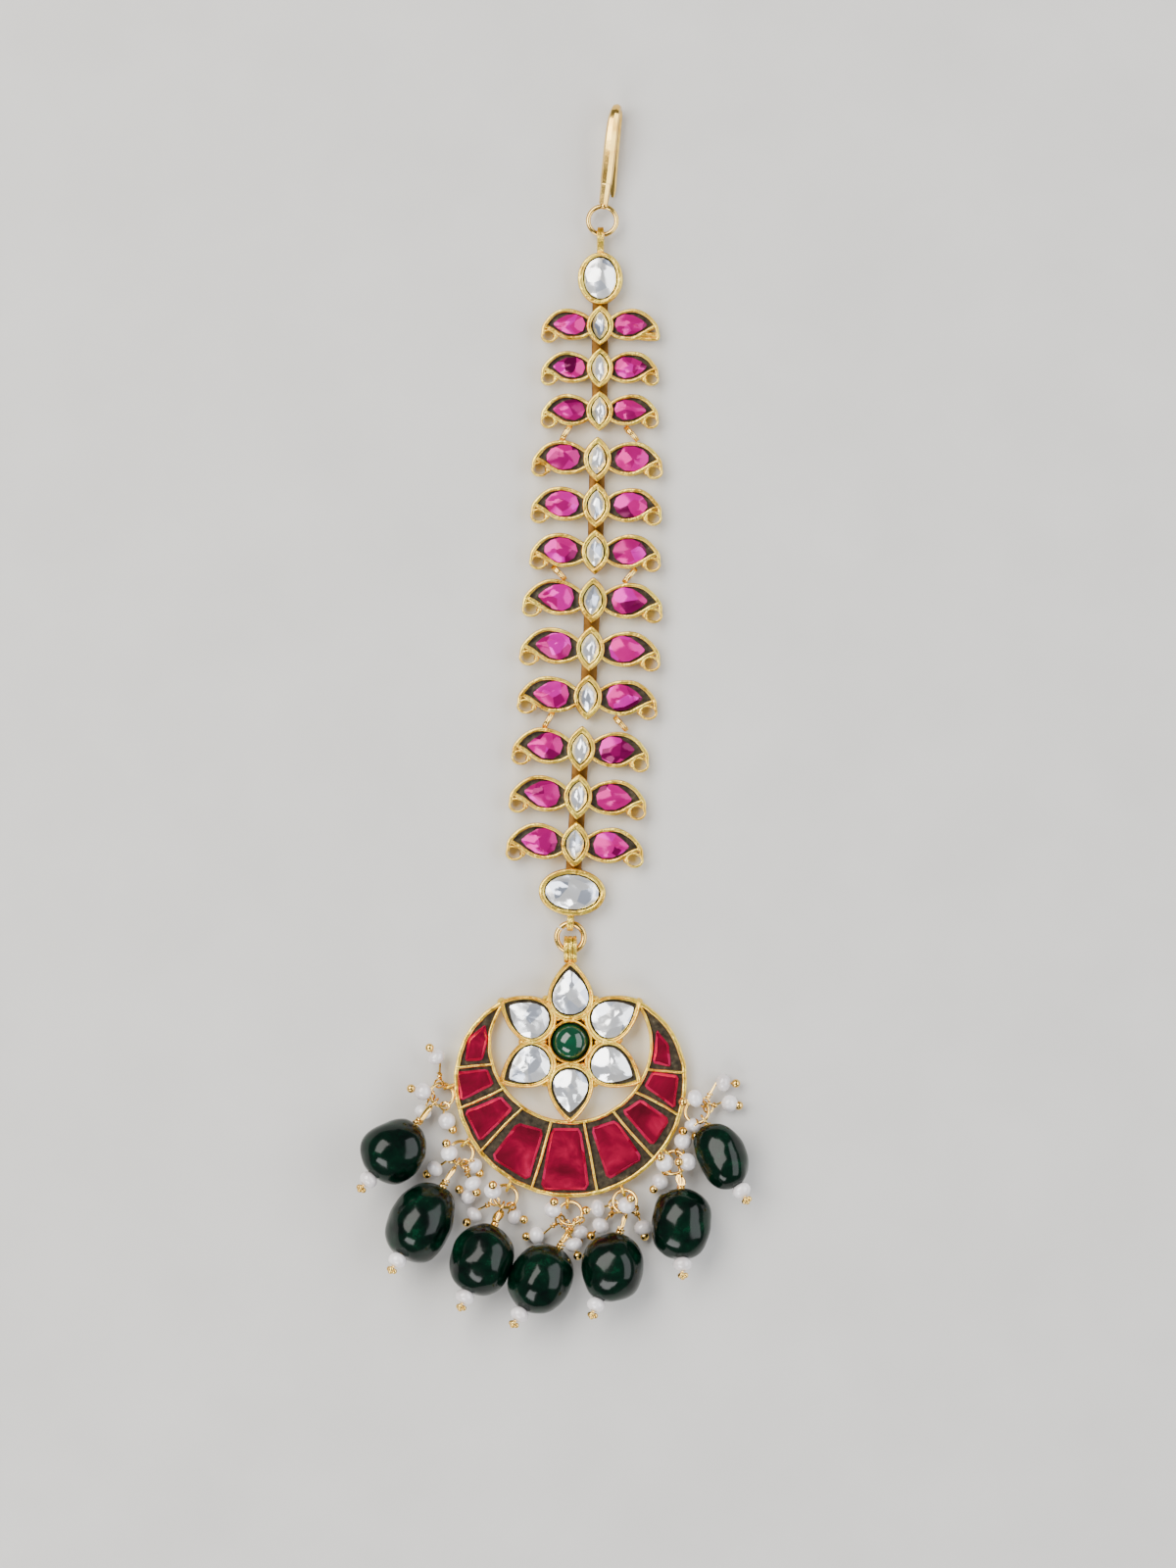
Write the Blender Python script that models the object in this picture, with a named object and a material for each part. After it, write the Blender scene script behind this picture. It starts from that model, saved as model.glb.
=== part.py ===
"""A maang tikka, an ornament for the hair parting, lying face up on a table.

+X is to the right, +Y runs up the parting towards the hook and +Z points up from the table.
Lengths are in metres. Every place is worked out from the flower at the middle of the pendant:
the pendant carries a jump ring, the ring carries section 4, and each section carries the next.
"""
import math

import bpy
import bmesh
from mathutils import Vector

for item in list(bpy.data.objects):
    bpy.data.objects.remove(item, do_unlink=True)

MM = 0.001

# Clearances and solder
GAP = 0.3 * MM                # between a wire and the eye that it hangs in
SEAT = 0.15 * MM              # under a stone in its cup
SOLDER = 0.3 * MM             # how far soldered pieces run into each other

# How finely round things are divided
BEAD_SIDES = 10
CUP_SIDES = 12
OVAL_SIDES = 14
STONE_SIDES = 8
WING_SIDES = 13
HOLE_SIDES = 6
CELL_POINTS = 3                # along each long side of a cell
CRESCENT_POINTS = 24
RING_SEGMENTS = 10
WIRE_SIDES = 5

# Section metal: heights above the table
SPINE_WIDTH = 2.4 * MM
SPINE_TOP = 0.8 * MM
CUP_BACK = 0.4 * MM
CUP_TOP = 2.5 * MM
CUP_FLOOR = 1.2 * MM
CUP_RIM = 0.5 * MM
CUP_END_RIM = 0.65 * MM       # the rim at a marquise cup's two points
CUP_TIP = 0.8                 # its points, from 0, round, to 1, sharp
WING_BACK = 0.5 * MM
WING_TOP = 2.3 * MM
GROOVE_WIDTH = 0.25 * MM
GROOVE_DEPTH = 0.5 * MM
PINK_TABLE = 2.75 * MM
CURL_HOLE = 1.15 * MM

# White stones of the strip
STONE_TOP = 2.95 * MM
MARQUISE_MARGIN = 0.22 * MM   # lac between a marquise stone and its cup, at the sides
MARQUISE_END = 0.6 * MM       # and at the ends
TOP_OVAL = {"across": 6.1 * MM, "along": 7.0 * MM, "play": 1.55 * MM}
BOTTOM_OVAL = {"across": 9.1 * MM, "along": 6.4 * MM, "play": 0.0}
OVAL_MARGIN = 0.25 * MM
OVAL_TIP_GAP = 0.2 * MM
TABLE_SHARE = 0.62            # of a stone's width, across its table
GIRDLE_SHARE = 0.55           # of its height, up to its girdle
BACK_SHARE = 0.9              # of its width, across its back

# One row for each section, from the pendant up. lean is the section's own turn clockwise and
# step_lean that of the step from the section below, in degrees. reach runs from the centre line
# to the wing tips, rise from the centre of a row to the top of its wings. A pink stone has a
# length, a width and a tip from 0, round, to 1, pointed.
SECTIONS = (
    {"name": "section_4", "lean": 3.5, "step_lean": 3.5, "reach": 9.35 * MM, "rise": 2.65 * MM,
     "cup_length": 6.2 * MM, "cup_width": 3.9 * MM, "tip_gap": 0.3 * MM,
     "pink_length": 4.6 * MM, "pink_width": 3.5 * MM, "pink_tip": 0.8},
    {"name": "section_3", "lean": 2.9, "step_lean": 7.5, "reach": 9.55 * MM, "rise": 2.65 * MM,
     "cup_length": 6.2 * MM, "cup_width": 3.9 * MM, "tip_gap": 0.4 * MM,
     "pink_length": 4.6 * MM, "pink_width": 3.5 * MM, "pink_tip": 0.8},
    {"name": "section_2", "lean": 1.3, "step_lean": 3.0, "reach": 8.9 * MM, "rise": 2.5 * MM,
     "cup_length": 6.1 * MM, "cup_width": 3.8 * MM, "tip_gap": 0.2 * MM,
     "pink_length": 4.4 * MM, "pink_width": 3.15 * MM, "pink_tip": 0.15},
    {"name": "section_1", "lean": 0.3, "step_lean": 2.7, "reach": 8.0 * MM, "rise": 2.3 * MM,
     "cup_length": 5.4 * MM, "cup_width": 3.7 * MM, "tip_gap": 0.4 * MM,
     "pink_length": 4.1 * MM, "pink_width": 2.7 * MM, "pink_tip": 0.7},
)
ROWS = 3                      # rows of wings in each section

# The wing's outline: along runs from its root in the cup to its tip, up in shares of its rise
WING_OUTLINE = (
    {"along": 0.00, "up": 0.46},
    {"along": 0.18, "up": 0.84},
    {"along": 0.42, "up": 1.00},
    {"along": 0.66, "up": 0.80},
    {"along": 0.87, "up": 0.32},
    {"along": 1.00, "up": -0.38},
    {"along": 0.96, "up": -0.82},
    {"along": 0.84, "up": -1.00},
    {"along": 0.70, "up": -0.90},
    {"along": 0.60, "up": -0.80},
    {"along": 0.40, "up": -0.86},
    {"along": 0.18, "up": -0.76},
    {"along": 0.00, "up": -0.48},
)
PINK_ALONG = 0.40
PINK_UP = 0.07
CURL_ALONG = 0.845
CURL_UP = -0.53
BELLY_UP = -0.86              # lowest share of the wing beside a link

# Links between sections: rings on edge, through flat eyelets soldered under the wings
LINK_WIRE = 0.45 * MM
EYELET_RIM = 0.3 * MM
EYELET_THICKNESS = 0.45 * MM
LINK_PLAY = 0.2 * MM          # between the link and its eyelet
LINK_ALONG = 0.42             # where the links sit, as a share of the wing
LINK_REACH = LINK_WIRE / 2 + LINK_PLAY + EYELET_RIM + GAP / 2
LINK_HEIGHT = LINK_REACH + LINK_WIRE / 2 + 0.05 * MM
STEM_BITE = 0.9 * MM          # how far an eyelet's stem runs in under its wing
STEM_SHARE = 0.7              # of the eyelet's width
# The turn of each link from the strip's line, clockwise, one row for each joint from the top
LINK_TURNS = (
    {"left": 30.0, "right": -38.0},
    {"left": -43.0, "right": 44.0},
    {"left": 26.0, "right": -41.0},
)

# Hook and its eye
HOOK_WIRE = 1.65 * MM
HOOK_LENGTH = 13.4 * MM
HOOK_RISE = 3.3 * MM          # shank above the return arm, centre to centre, at the bend
HOOK_LEAN = 6.0
EYE_WIRE = 0.65 * MM
EYE_RADIUS = 1.92 * MM
# The hook's line from the eye, round the bend and back under it: along and high as shares of
# its length and rise, side as a share of its wire, thick as a share of the wire
HOOK_LINE = (
    {"along": 0.00, "side": 0.00, "high": 0.36, "thick": 0.84},
    {"along": 0.25, "side": 0.00, "high": 0.55, "thick": 0.90},
    {"along": 0.55, "side": 0.05, "high": 0.82, "thick": 1.00},
    {"along": 0.80, "side": 0.08, "high": 1.00, "thick": 1.00},
    {"along": 0.93, "side": 0.14, "high": 0.95, "thick": 0.95},
    {"along": 1.00, "side": 0.26, "high": 0.66, "thick": 0.85},
    {"along": 0.99, "side": 0.40, "high": 0.30, "thick": 0.80},
    {"along": 0.91, "side": 0.52, "high": 0.05, "thick": 0.75},
    {"along": 0.75, "side": 0.58, "high": 0.00, "thick": 0.72},
    {"along": 0.40, "side": 0.72, "high": 0.00, "thick": 0.66},
    {"along": 0.12, "side": 0.90, "high": 0.00, "thick": 0.58},
)

# Bails and rings
BAIL_WIRE = 0.7 * MM
BAIL_PLAY = 0.7 * MM
BAIL_HALF_HEIGHT = 1.25 * MM
BAIL_WIDEN = 1.6              # the pendant's bail is a broad band, wider than it is thick
LOOP_WIRE = 0.55 * MM
LOOP_WIDEN = 1.5              # the strip's end loops are flat straps
RING_WIRE = 0.8 * MM
RING_PLAY = 1.9 * MM
COUPLING_HEIGHT = 1.65 * MM   # where bails and rings cross, above the table

# Pendant
PETALS = 6
PETAL_LENGTH = 8.4 * MM
PETAL_WIDTH = 6.3 * MM
PETAL_BACK = 0.2 * MM
PETAL_TOP = 2.6 * MM
PETAL_TIP = 0.75
PETAL_END_RIM = 0.6 * MM
PETAL_STAGGER = 0.04 * MM     # every other petal stands this much higher
PEAR_RISE = 0.5 * MM          # its stone's table above the petal's rim
PEAR_MARGIN = 0.25 * MM
PEAR_END = 1.1 * MM            # lac beyond a pear stone's point
CENTRE_RADIUS = 3.0 * MM
CENTRE_BACK = 0.1 * MM
CENTRE_TOP = 2.9 * MM
CENTRE_RIM = 0.35 * MM
DOME_STEPS = 3                # bands of the cabochon, up to near its top
DOME_RISE = 26.0              # degrees up each band
CABOCHON_HEIGHT = 2.3 * MM
CRESCENT_TOP = 2.0 * MM
CRESCENT_FLOOR = 1.0 * MM
CRESCENT_ROOM = 4.7 * MM      # its outer circle's radius, past the petals' reach
CRESCENT_DROP = 5.4 * MM      # centre of the outer circle below the flower
CRESCENT_RIM = 0.55 * MM
DIVIDER = 0.5 * MM
LAC_GAP = 0.75 * MM           # dark lac between a ruby and the metal
RUBY_TOP = 2.35 * MM
HORN_ANGLE = 29.0             # of the horn tips above the flower's own level
HORN_START = -15.0            # where the horns begin to pinch in
OUTER_PINCH = 0.115
INNER_PINCH = 0.05
END_CELL_RISE = 17.0          # where the end cells begin, above the flower's level
END_RUBY_RISE = 5.0           # and where their stones begin
# Dividers between the nine cells, in degrees round the flower from the right
DIVIDER_ANGLES = (194.7, 213.0, 232.5, 256.0, 280.0, 303.6, 324.0, 342.7)

# Drops and pearl clusters
WIRE = 0.45 * MM              # rings, eyes, loops and pins
NECK_WIRE = 0.8 * MM          # a pin with its end wrapped round it
CLUSTER_RADIUS = 1.6 * MM
DROP_LOOP_HEIGHT = 1.2 * MM
BEAD_TILT = 14.0
PEARL = 2.1 * MM
DROP_PEARL = 2.5 * MM
PIN_HEAD = 1.3 * MM
PIN_CLEAR = 50.0              # degrees that a pearl's pin keeps from the ring's two loops
HOLE_BITE = 0.15 * MM         # how far beads run into each other on their pin
POLE = 0.12                   # where a bead's round starts, as a share of its half turn

UP = Vector((0, 0, 1))

# Finishes
def finish(name, colour, roughness, metallic):
    material = bpy.data.materials.new(name)
    material.use_nodes = True
    shader = material.node_tree.nodes["Principled BSDF"]
    shader.inputs["Base Color"].default_value = (*colour, 1)
    shader.inputs["Roughness"].default_value = roughness
    shader.inputs["Metallic"].default_value = metallic
    return material


GOLD = finish("antique_gold", (0.67, 0.45, 0.13), 0.32, 1.0)
PINK = finish("pink_stone", (0.75, 0.02, 0.28), 0.12, 0.0)
RUBY = finish("ruby_stone", (0.43, 0.01, 0.06), 0.15, 0.0)
WHITE = finish("white_stone", (0.75, 0.78, 0.80), 0.08, 0.0)
GREEN_GLASS = finish("green_cabochon", (0.02, 0.16, 0.07), 0.1, 0.0)
GREEN_BEAD = finish("green_bead", (0.005, 0.035, 0.016), 0.18, 0.0)
PEARL_WHITE = finish("pearl", (0.86, 0.76, 0.72), 0.28, 0.0)

root = bpy.data.objects.new("root", None)
bpy.context.scene.collection.objects.link(root)


# Placing an object made from a finished bmesh
def place(name, mesh_data, finishes):
    bmesh.ops.recalc_face_normals(mesh_data, faces=mesh_data.faces)
    mesh = bpy.data.meshes.new(name)
    mesh_data.to_mesh(mesh)
    mesh_data.free()
    for material in finishes:
        mesh.materials.append(material)
    mesh.shade_smooth()
    mesh.set_sharp_from_angle(angle=math.radians(35))
    thing = bpy.data.objects.new(name, mesh)
    thing.parent = root
    bpy.context.scene.collection.objects.link(thing)
    return thing


def loft(rings, slots=None):
    """A closed solid through rings of equal count; slots gives each band, then the last cap."""
    slots = slots or [0] * len(rings)
    solid = bmesh.new()
    rows = [[solid.verts.new(point) for point in ring] for ring in rings]
    solid.faces.new(reversed(rows[0]))
    count = len(rows[0])
    for band in range(len(rows) - 1):
        low, high = rows[band], rows[band + 1]
        for i in range(count):
            after = (i + 1) % count
            face = solid.faces.new((low[i], low[after], high[after], high[i]))
            face.material_index = slots[band]
    cap = solid.faces.new(rows[-1])
    cap.material_index = slots[-1]
    return solid


def at_height(outline, height):
    return [Vector((point.x, point.y, height)) for point in outline]


def prism(outline, low, high):
    return loft([at_height(outline, low), at_height(outline, high)])


def wire_ring(centre, along, across, long_radius, short_radius, wire, widen=1.0):
    """A closed ring of round wire; widen stretches the wire at right angles to the ring's plane."""
    solid = bmesh.new()
    side = along.cross(across).normalized()
    rows = []
    for segment in range(RING_SEGMENTS):
        turn = math.tau * segment / RING_SEGMENTS
        outward = (along * math.cos(turn) * short_radius + across * math.sin(turn) * long_radius)
        outward.normalize()
        middle = (centre + along * long_radius * math.cos(turn)
                  + across * short_radius * math.sin(turn))
        row = []
        for corner in range(WIRE_SIDES):
            spin = math.tau * corner / WIRE_SIDES
            row.append(solid.verts.new(middle + outward * wire / 2 * math.cos(spin)
                                       + side * widen * wire / 2 * math.sin(spin)))
        rows.append(row)
    for segment in range(RING_SEGMENTS):
        row, after = rows[segment], rows[(segment + 1) % RING_SEGMENTS]
        for i in range(WIRE_SIDES):
            j = (i + 1) % WIRE_SIDES
            solid.faces.new((row[i], row[j], after[j], after[i]))
    return solid


def tube(points, widths, sides=WIRE_SIDES):
    """A closed tube of round wire along a line of points."""
    rings = []
    across = None
    for i, point in enumerate(points):
        ahead = points[min(i + 1, len(points) - 1)] - points[max(i - 1, 0)]
        ahead.normalize()
        if across is None:
            across = ahead.orthogonal()
        across = (across - ahead * across.dot(ahead)).normalized()
        other = ahead.cross(across)
        spins = [math.tau * corner / sides for corner in range(sides)]
        rings.append([point + (across * math.cos(spin) + other * math.sin(spin)) * widths[i] / 2
                      for spin in spins])
    return loft(rings)


def turned_profile(start, axis, profile, slots):
    """A solid turned on an axis; the profile gives how far along it and how far out."""
    across = axis.orthogonal().normalized()
    other = axis.cross(across)
    spins = [math.tau * i / BEAD_SIDES for i in range(BEAD_SIDES)]
    rings = [[start + axis * along + (across * math.cos(spin) + other * math.sin(spin)) * out
              for spin in spins] for along, out in profile]
    return loft(rings, slots)


def pearl(centre, axis):
    """A small pearl on a pin; its poles are small flats where the pin goes in."""
    bands = 3
    turns = [math.pi * (POLE + (1 - 2 * POLE) * band / bands) for band in range(bands + 1)]
    profile = [(-math.cos(turn) * PEARL / 2, math.sin(turn) * PEARL / 2) for turn in turns]
    return turned_profile(centre, axis.normalized(), profile, [2] * len(profile))


def unite(name, solids, cutters, finishes):
    """One soldered body from overlapping solids, with any holes cut through it."""
    whole = place(name, solids[0], finishes)
    helpers = []
    for kind, group in (("UNION", solids[1:]), ("DIFFERENCE", cutters)):
        for i, solid in enumerate(group):
            helper = place(f"{name}_{kind.lower()}_{i}", solid, finishes)
            helper.hide_render = True
            helper.display_type = "WIRE"
            helpers.append(helper)
            step = whole.modifiers.new(f"{kind.lower()}_{i}", "BOOLEAN")
            step.operation = kind
            step.solver = "EXACT"
            step.object = helper
    bpy.context.view_layer.update()
    shape = whole.evaluated_get(bpy.context.evaluated_depsgraph_get())
    mesh = bpy.data.meshes.new_from_object(shape)
    whole.modifiers.clear()
    whole.data = mesh
    for helper in helpers:
        bpy.data.objects.remove(helper, do_unlink=True)
    mesh.shade_smooth()
    mesh.set_sharp_from_angle(angle=math.radians(35))
    return whole


# Outlines
def circle(centre, radius, sides):
    return [Vector((centre.x + radius * math.cos(math.tau * i / sides),
                    centre.y + radius * math.sin(math.tau * i / sides), 0)) for i in range(sides)]


def gem_point(turn, length, width, tip, tail=0.0):
    """A point on a gem's girdle; its ends go from 0, round, to 1, pointed."""
    fore, aft = tip + 1, tail + 1
    whole = fore + aft
    fullest = 2 * (fore / whole) ** (fore / 2) * (aft / whole) ** (aft / 2)
    swell = 2 * abs(math.sin(turn / 2)) ** fore * abs(math.cos(turn / 2)) ** aft
    side = 1 if math.sin(turn) >= 0 else -1
    return Vector((length / 2 * math.cos(turn), side * width / 2 * swell / fullest, 0))


def gem_outline(length, width, tip, tail, sides):
    return [gem_point(math.tau * (i + 0.5) / sides, length, width, tip, tail) for i in range(sides)]


def smooth_outline(knots, count):
    """Points spread along a closed smooth curve through the knots."""
    points = []
    for i in range(count):
        place_on = i * len(knots) / count
        k = int(place_on)
        t = place_on - k
        a, b, c, d = (knots[(k + step) % len(knots)] for step in (-1, 0, 1, 2))
        points.append(0.5 * (2 * b + (c - a) * t + (2 * a - 5 * b + 4 * c - d) * t ** 2
                             + (3 * b - a - 3 * c + d) * t ** 3))
    return points


def turned(outline, centre, direction):
    """An outline drawn along +X, laid along a direction on the table."""
    across = Vector((-direction.y, direction.x, 0))
    return [centre + direction * point.x + across * point.y for point in outline]


# Cups and stones
def cup(outline, inner, back, floor, top):
    return loft([at_height(outline, back), at_height(outline, top),
                 at_height(inner, top), at_height(inner, floor)])


def shrunk(outline, share):
    middle = sum(outline, Vector()) / len(outline)
    return [middle + (point - middle) * share for point in outline]


def cut_stone(name, outline, back, top, material):
    """A stone with a flat back, a girdle, a crown of facets and a table."""
    girdle = back + (top - back) * GIRDLE_SHARE
    rings = [at_height(shrunk(outline, BACK_SHARE), back), at_height(outline, girdle),
             at_height(shrunk(outline, TABLE_SHARE), top)]
    stone = place(name, loft(rings), [material])
    stone.data.shade_flat()
    return stone


# Sections of the strip
def heading(degrees):
    """The direction up the strip, leaning clockwise by so many degrees."""
    lean = math.radians(degrees)
    return Vector((math.sin(lean), math.cos(lean), 0))


def wing_root(section):
    return section["cup_width"] / 2 - SOLDER


def wing_place(section, side, along, up):
    """A place on a wing, from the centre of its row: side is 1 right and -1 left."""
    reach = wing_root(section) + along * (section["reach"] - wing_root(section))
    line = heading(section["lean"])
    right = Vector((line.y, -line.x, 0))
    return right * side * reach + line * up * section["rise"]


def wing(section, centre, side):
    """A curled wing: a flat rim, a groove of blackened lac and a faceted pink stone."""
    knots = [wing_place(section, side, row["along"], row["up"]) for row in WING_OUTLINE]
    outline = smooth_outline(knots, WING_SIDES)
    stone_centre = wing_place(section, side, PINK_ALONG, PINK_UP)
    line = heading(section["lean"])
    outward = Vector((line.y, -line.x, 0)) * side
    length, width, tip = section["pink_length"], section["pink_width"], section["pink_tip"]

    def girdle(grow, share=1.0):
        points = []
        for point in outline:
            away = point - stone_centre
            turn = math.atan2(away.dot(line) / width, away.dot(outward) / length)
            spot = gem_point(turn, length + 2 * grow, width + 2 * grow, tip) * share
            points.append(centre + stone_centre + outward * spot.x + line * spot.y)
        return points

    rim = [centre + point for point in outline]
    rings = [at_height(rim, WING_BACK), at_height(rim, WING_TOP),
             at_height(girdle(GROOVE_WIDTH), WING_TOP),
             at_height(girdle(0), WING_TOP - GROOVE_DEPTH),
             at_height(girdle(0, TABLE_SHARE), PINK_TABLE)]
    return loft(rings, [0, 0, 0, 1, 1])


def curl_hole(section, centre, side):
    middle = centre + wing_place(section, side, CURL_ALONG, CURL_UP)
    return prism(circle(middle, CURL_HOLE / 2, HOLE_SIDES), 0, 2 * WING_TOP)


def eyelet(hole, stem_end, height):
    """A flat eyelet: a rim round a link, with a stem that runs in under a wing."""
    radius = LINK_WIRE / 2 + LINK_PLAY + EYELET_RIM
    stem = (stem_end - hole).normalized()
    across = Vector((-stem.y, stem.x, 0))
    outline = [hole - stem * radius * math.sin(math.pi * i / 4)
               + across * radius * math.cos(math.pi * i / 4) for i in range(5)]
    outline += [stem_end - across * radius * STEM_SHARE, stem_end + across * radius * STEM_SHARE]
    return prism(outline, height - EYELET_THICKNESS / 2, height + EYELET_THICKNESS / 2)


def eyelet_hole(hole):
    return prism(circle(hole, LINK_WIRE / 2 + LINK_PLAY, HOLE_SIDES), 0, 2 * WING_TOP)



# The strip's joints
def step_between(lower, upper, turns):
    """From the top row of one section to the bottom row of the next, leaving room for the links."""
    slant = math.radians(min(abs(turns["left"]), abs(turns["right"])))
    room = 2 * (LINK_REACH + LINK_WIRE / 2 + LINK_PLAY / 2) * math.cos(slant)
    by_wings = lower["rise"] - BELLY_UP * upper["rise"] + room
    by_cups = (lower["cup_length"] + upper["cup_length"]) / 2 + upper["tip_gap"]
    return max(by_wings, by_cups)


def link_places(lower, lower_centre, upper, upper_centre, side, turn):
    """The link's middle, its direction and how far its eyelets' stems run out from it."""
    below = lower_centre + wing_place(lower, side, LINK_ALONG, 1.0)
    above = upper_centre + wing_place(upper, side, LINK_ALONG, BELLY_UP)
    direction = heading((lower["lean"] + upper["lean"]) / 2 + turn)
    half_gap = (above - below).length / 2 / math.cos(math.radians(turn))
    return (below + above) / 2, direction, half_gap + STEM_BITE


def section_metal(section, foot, oval, oval_end, eyelets):
    """Cups, wings, strip and eyelets of one section; returns the row centres too."""
    line = heading(section["lean"])
    pitch = section["cup_length"] + section["tip_gap"]
    centres = [foot + line * pitch * row for row in range(ROWS)]
    ends = [centres[0] - line * section["cup_length"] * 0.3,
            centres[-1] + line * section["cup_length"] * 0.3]
    solids = []
    if oval:
        reach = (section["cup_length"] + oval["along"]) / 2 + OVAL_TIP_GAP
        start = centres[0] if oval_end < 0 else centres[-1]
        oval_centre = start + line * reach * oval_end
        ends[0 if oval_end < 0 else 1] = oval_centre
        outline = gem_outline(oval["along"], oval["across"], 0, 0, OVAL_SIDES)
        inner = gem_outline(oval["along"] - 2 * CUP_RIM, oval["across"] - 2 * CUP_RIM, 0, 0, OVAL_SIDES)
        solids.append(cup(turned(outline, oval_centre, line), turned(inner, oval_centre, line),
                          CUP_BACK, CUP_FLOOR, CUP_TOP))
        loop_radius = oval["loop"] / 2 + GAP + LOOP_WIRE / 2
        loop_reach = loop_radius + oval["play"] / 2
        loop = oval_centre + line * oval_end * (oval["along"] / 2 + loop_reach + LOOP_WIRE / 2 - SOLDER)
        solids.append(wire_ring(loop + UP * COUPLING_HEIGHT, line, UP, loop_reach, loop_radius,
                                LOOP_WIRE, LOOP_WIDEN))
        stone_outline = gem_outline(oval["along"] - 2 * (CUP_RIM + OVAL_MARGIN),
                                    oval["across"] - 2 * (CUP_RIM + OVAL_MARGIN), 0, 0, OVAL_SIDES)
        cut_stone(oval["stone"], turned(stone_outline, oval_centre, line),
                  CUP_FLOOR + SEAT, STONE_TOP, WHITE)
    across = Vector((line.y, -line.x, 0)) * SPINE_WIDTH / 2
    spine = [ends[0] - across, ends[0] + across, ends[1] + across, ends[1] - across]
    solids.insert(0, prism(spine, 0, SPINE_TOP))
    holes = []
    outline = gem_outline(section["cup_length"], section["cup_width"], CUP_TIP, CUP_TIP, CUP_SIDES)
    inner = gem_outline(section["cup_length"] - 2 * CUP_END_RIM, section["cup_width"] - 2 * CUP_RIM,
                        CUP_TIP, CUP_TIP, CUP_SIDES)
    for centre in centres:
        solids.append(cup(turned(outline, centre, line), turned(inner, centre, line),
                          CUP_BACK, CUP_FLOOR, CUP_TOP))
        for side in (-1, 1):
            solids.append(wing(section, centre, side))
            holes.append(curl_hole(section, centre, side))
    for hole, stem_end in eyelets(centres):
        solids.append(eyelet(hole, stem_end, LINK_HEIGHT))
        holes.append(eyelet_hole(hole))
    unite(section["name"], solids, holes, [GOLD, PINK])
    return centres


def marquise_stones(section, centres, first):
    outline = gem_outline(section["cup_length"] - 2 * (CUP_RIM + MARQUISE_END),
                          section["cup_width"] - 2 * (CUP_RIM + MARQUISE_MARGIN), CUP_TIP, CUP_TIP,
                          STONE_SIDES)
    for row, centre in enumerate(centres):
        laid = turned(outline, centre, heading(section["lean"]))
        cut_stone(f"marquise_stone_{first - row:02d}", laid, CUP_FLOOR + SEAT, STONE_TOP, WHITE)


def strip(foot):
    """The four sections from the pendant's ring up; returns the hole of the top loop."""
    BOTTOM_OVAL.update(loop=RING_WIRE, stone="oval_stone_bottom")
    TOP_OVAL.update(loop=EYE_WIRE, stone="oval_stone_top")
    lowest = SECTIONS[0]
    loop_radius = RING_WIRE / 2 + GAP + LOOP_WIRE / 2
    start = (loop_radius + BOTTOM_OVAL["play"] + LOOP_WIRE / 2 - SOLDER + BOTTOM_OVAL["along"]
             + OVAL_TIP_GAP + lowest["cup_length"] / 2)
    places = [foot + heading(lowest["lean"]) * start]
    for joint, upper in enumerate(SECTIONS[1:], start=1):
        lower = SECTIONS[joint - 1]
        top_row = places[-1] + heading(lower["lean"]) * (lower["cup_length"] + lower["tip_gap"]) * (ROWS - 1)
        step = step_between(lower, upper, LINK_TURNS[len(SECTIONS) - 1 - joint])
        places.append(top_row + heading(upper["step_lean"]) * step)

    def row_centres(number):
        section = SECTIONS[number]
        pitch = section["cup_length"] + section["tip_gap"]
        return [places[number] + heading(section["lean"]) * pitch * row for row in range(ROWS)]

    links = []
    for joint in range(1, len(SECTIONS)):
        turns = LINK_TURNS[len(SECTIONS) - 1 - joint]
        for side, word in ((-1, "left"), (1, "right")):
            middle, direction, stem = link_places(SECTIONS[joint - 1], row_centres(joint - 1)[-1],
                                                  SECTIONS[joint], row_centres(joint)[0],
                                                  side, turns[word])
            links.append({"joint": joint, "middle": middle, "direction": direction, "stem": stem})
            name = f"link_{len(SECTIONS) - joint}_{word}"
            ring = wire_ring(middle + UP * LINK_HEIGHT, direction, UP, LINK_REACH, LINK_REACH, LINK_WIRE)
            place(name, ring, [GOLD])

    for number, section in enumerate(SECTIONS):
        def eyelets(centres, number=number):
            found = []
            for link in links:
                for joint, way in ((number + 1, -1), (number, 1)):
                    if link["joint"] == joint:
                        out = link["direction"] * way
                        found.append((link["middle"] + out * LINK_REACH,
                                      link["middle"] + out * link["stem"]))
            return found
        oval = {0: BOTTOM_OVAL, len(SECTIONS) - 1: TOP_OVAL}.get(number)
        centres = section_metal(section, places[number], oval, -1 if number == 0 else 1, eyelets)
        marquise_stones(section, centres, ROWS * (len(SECTIONS) - number))
    highest = SECTIONS[-1]
    top_radius = EYE_WIRE / 2 + GAP + LOOP_WIRE / 2
    rise = ((highest["cup_length"] + highest["tip_gap"]) * (ROWS - 1) + highest["cup_length"] / 2
            + OVAL_TIP_GAP + TOP_OVAL["along"] + TOP_OVAL["play"] + top_radius + LOOP_WIRE / 2 - SOLDER)
    return places[-1] + heading(highest["lean"]) * rise


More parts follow.
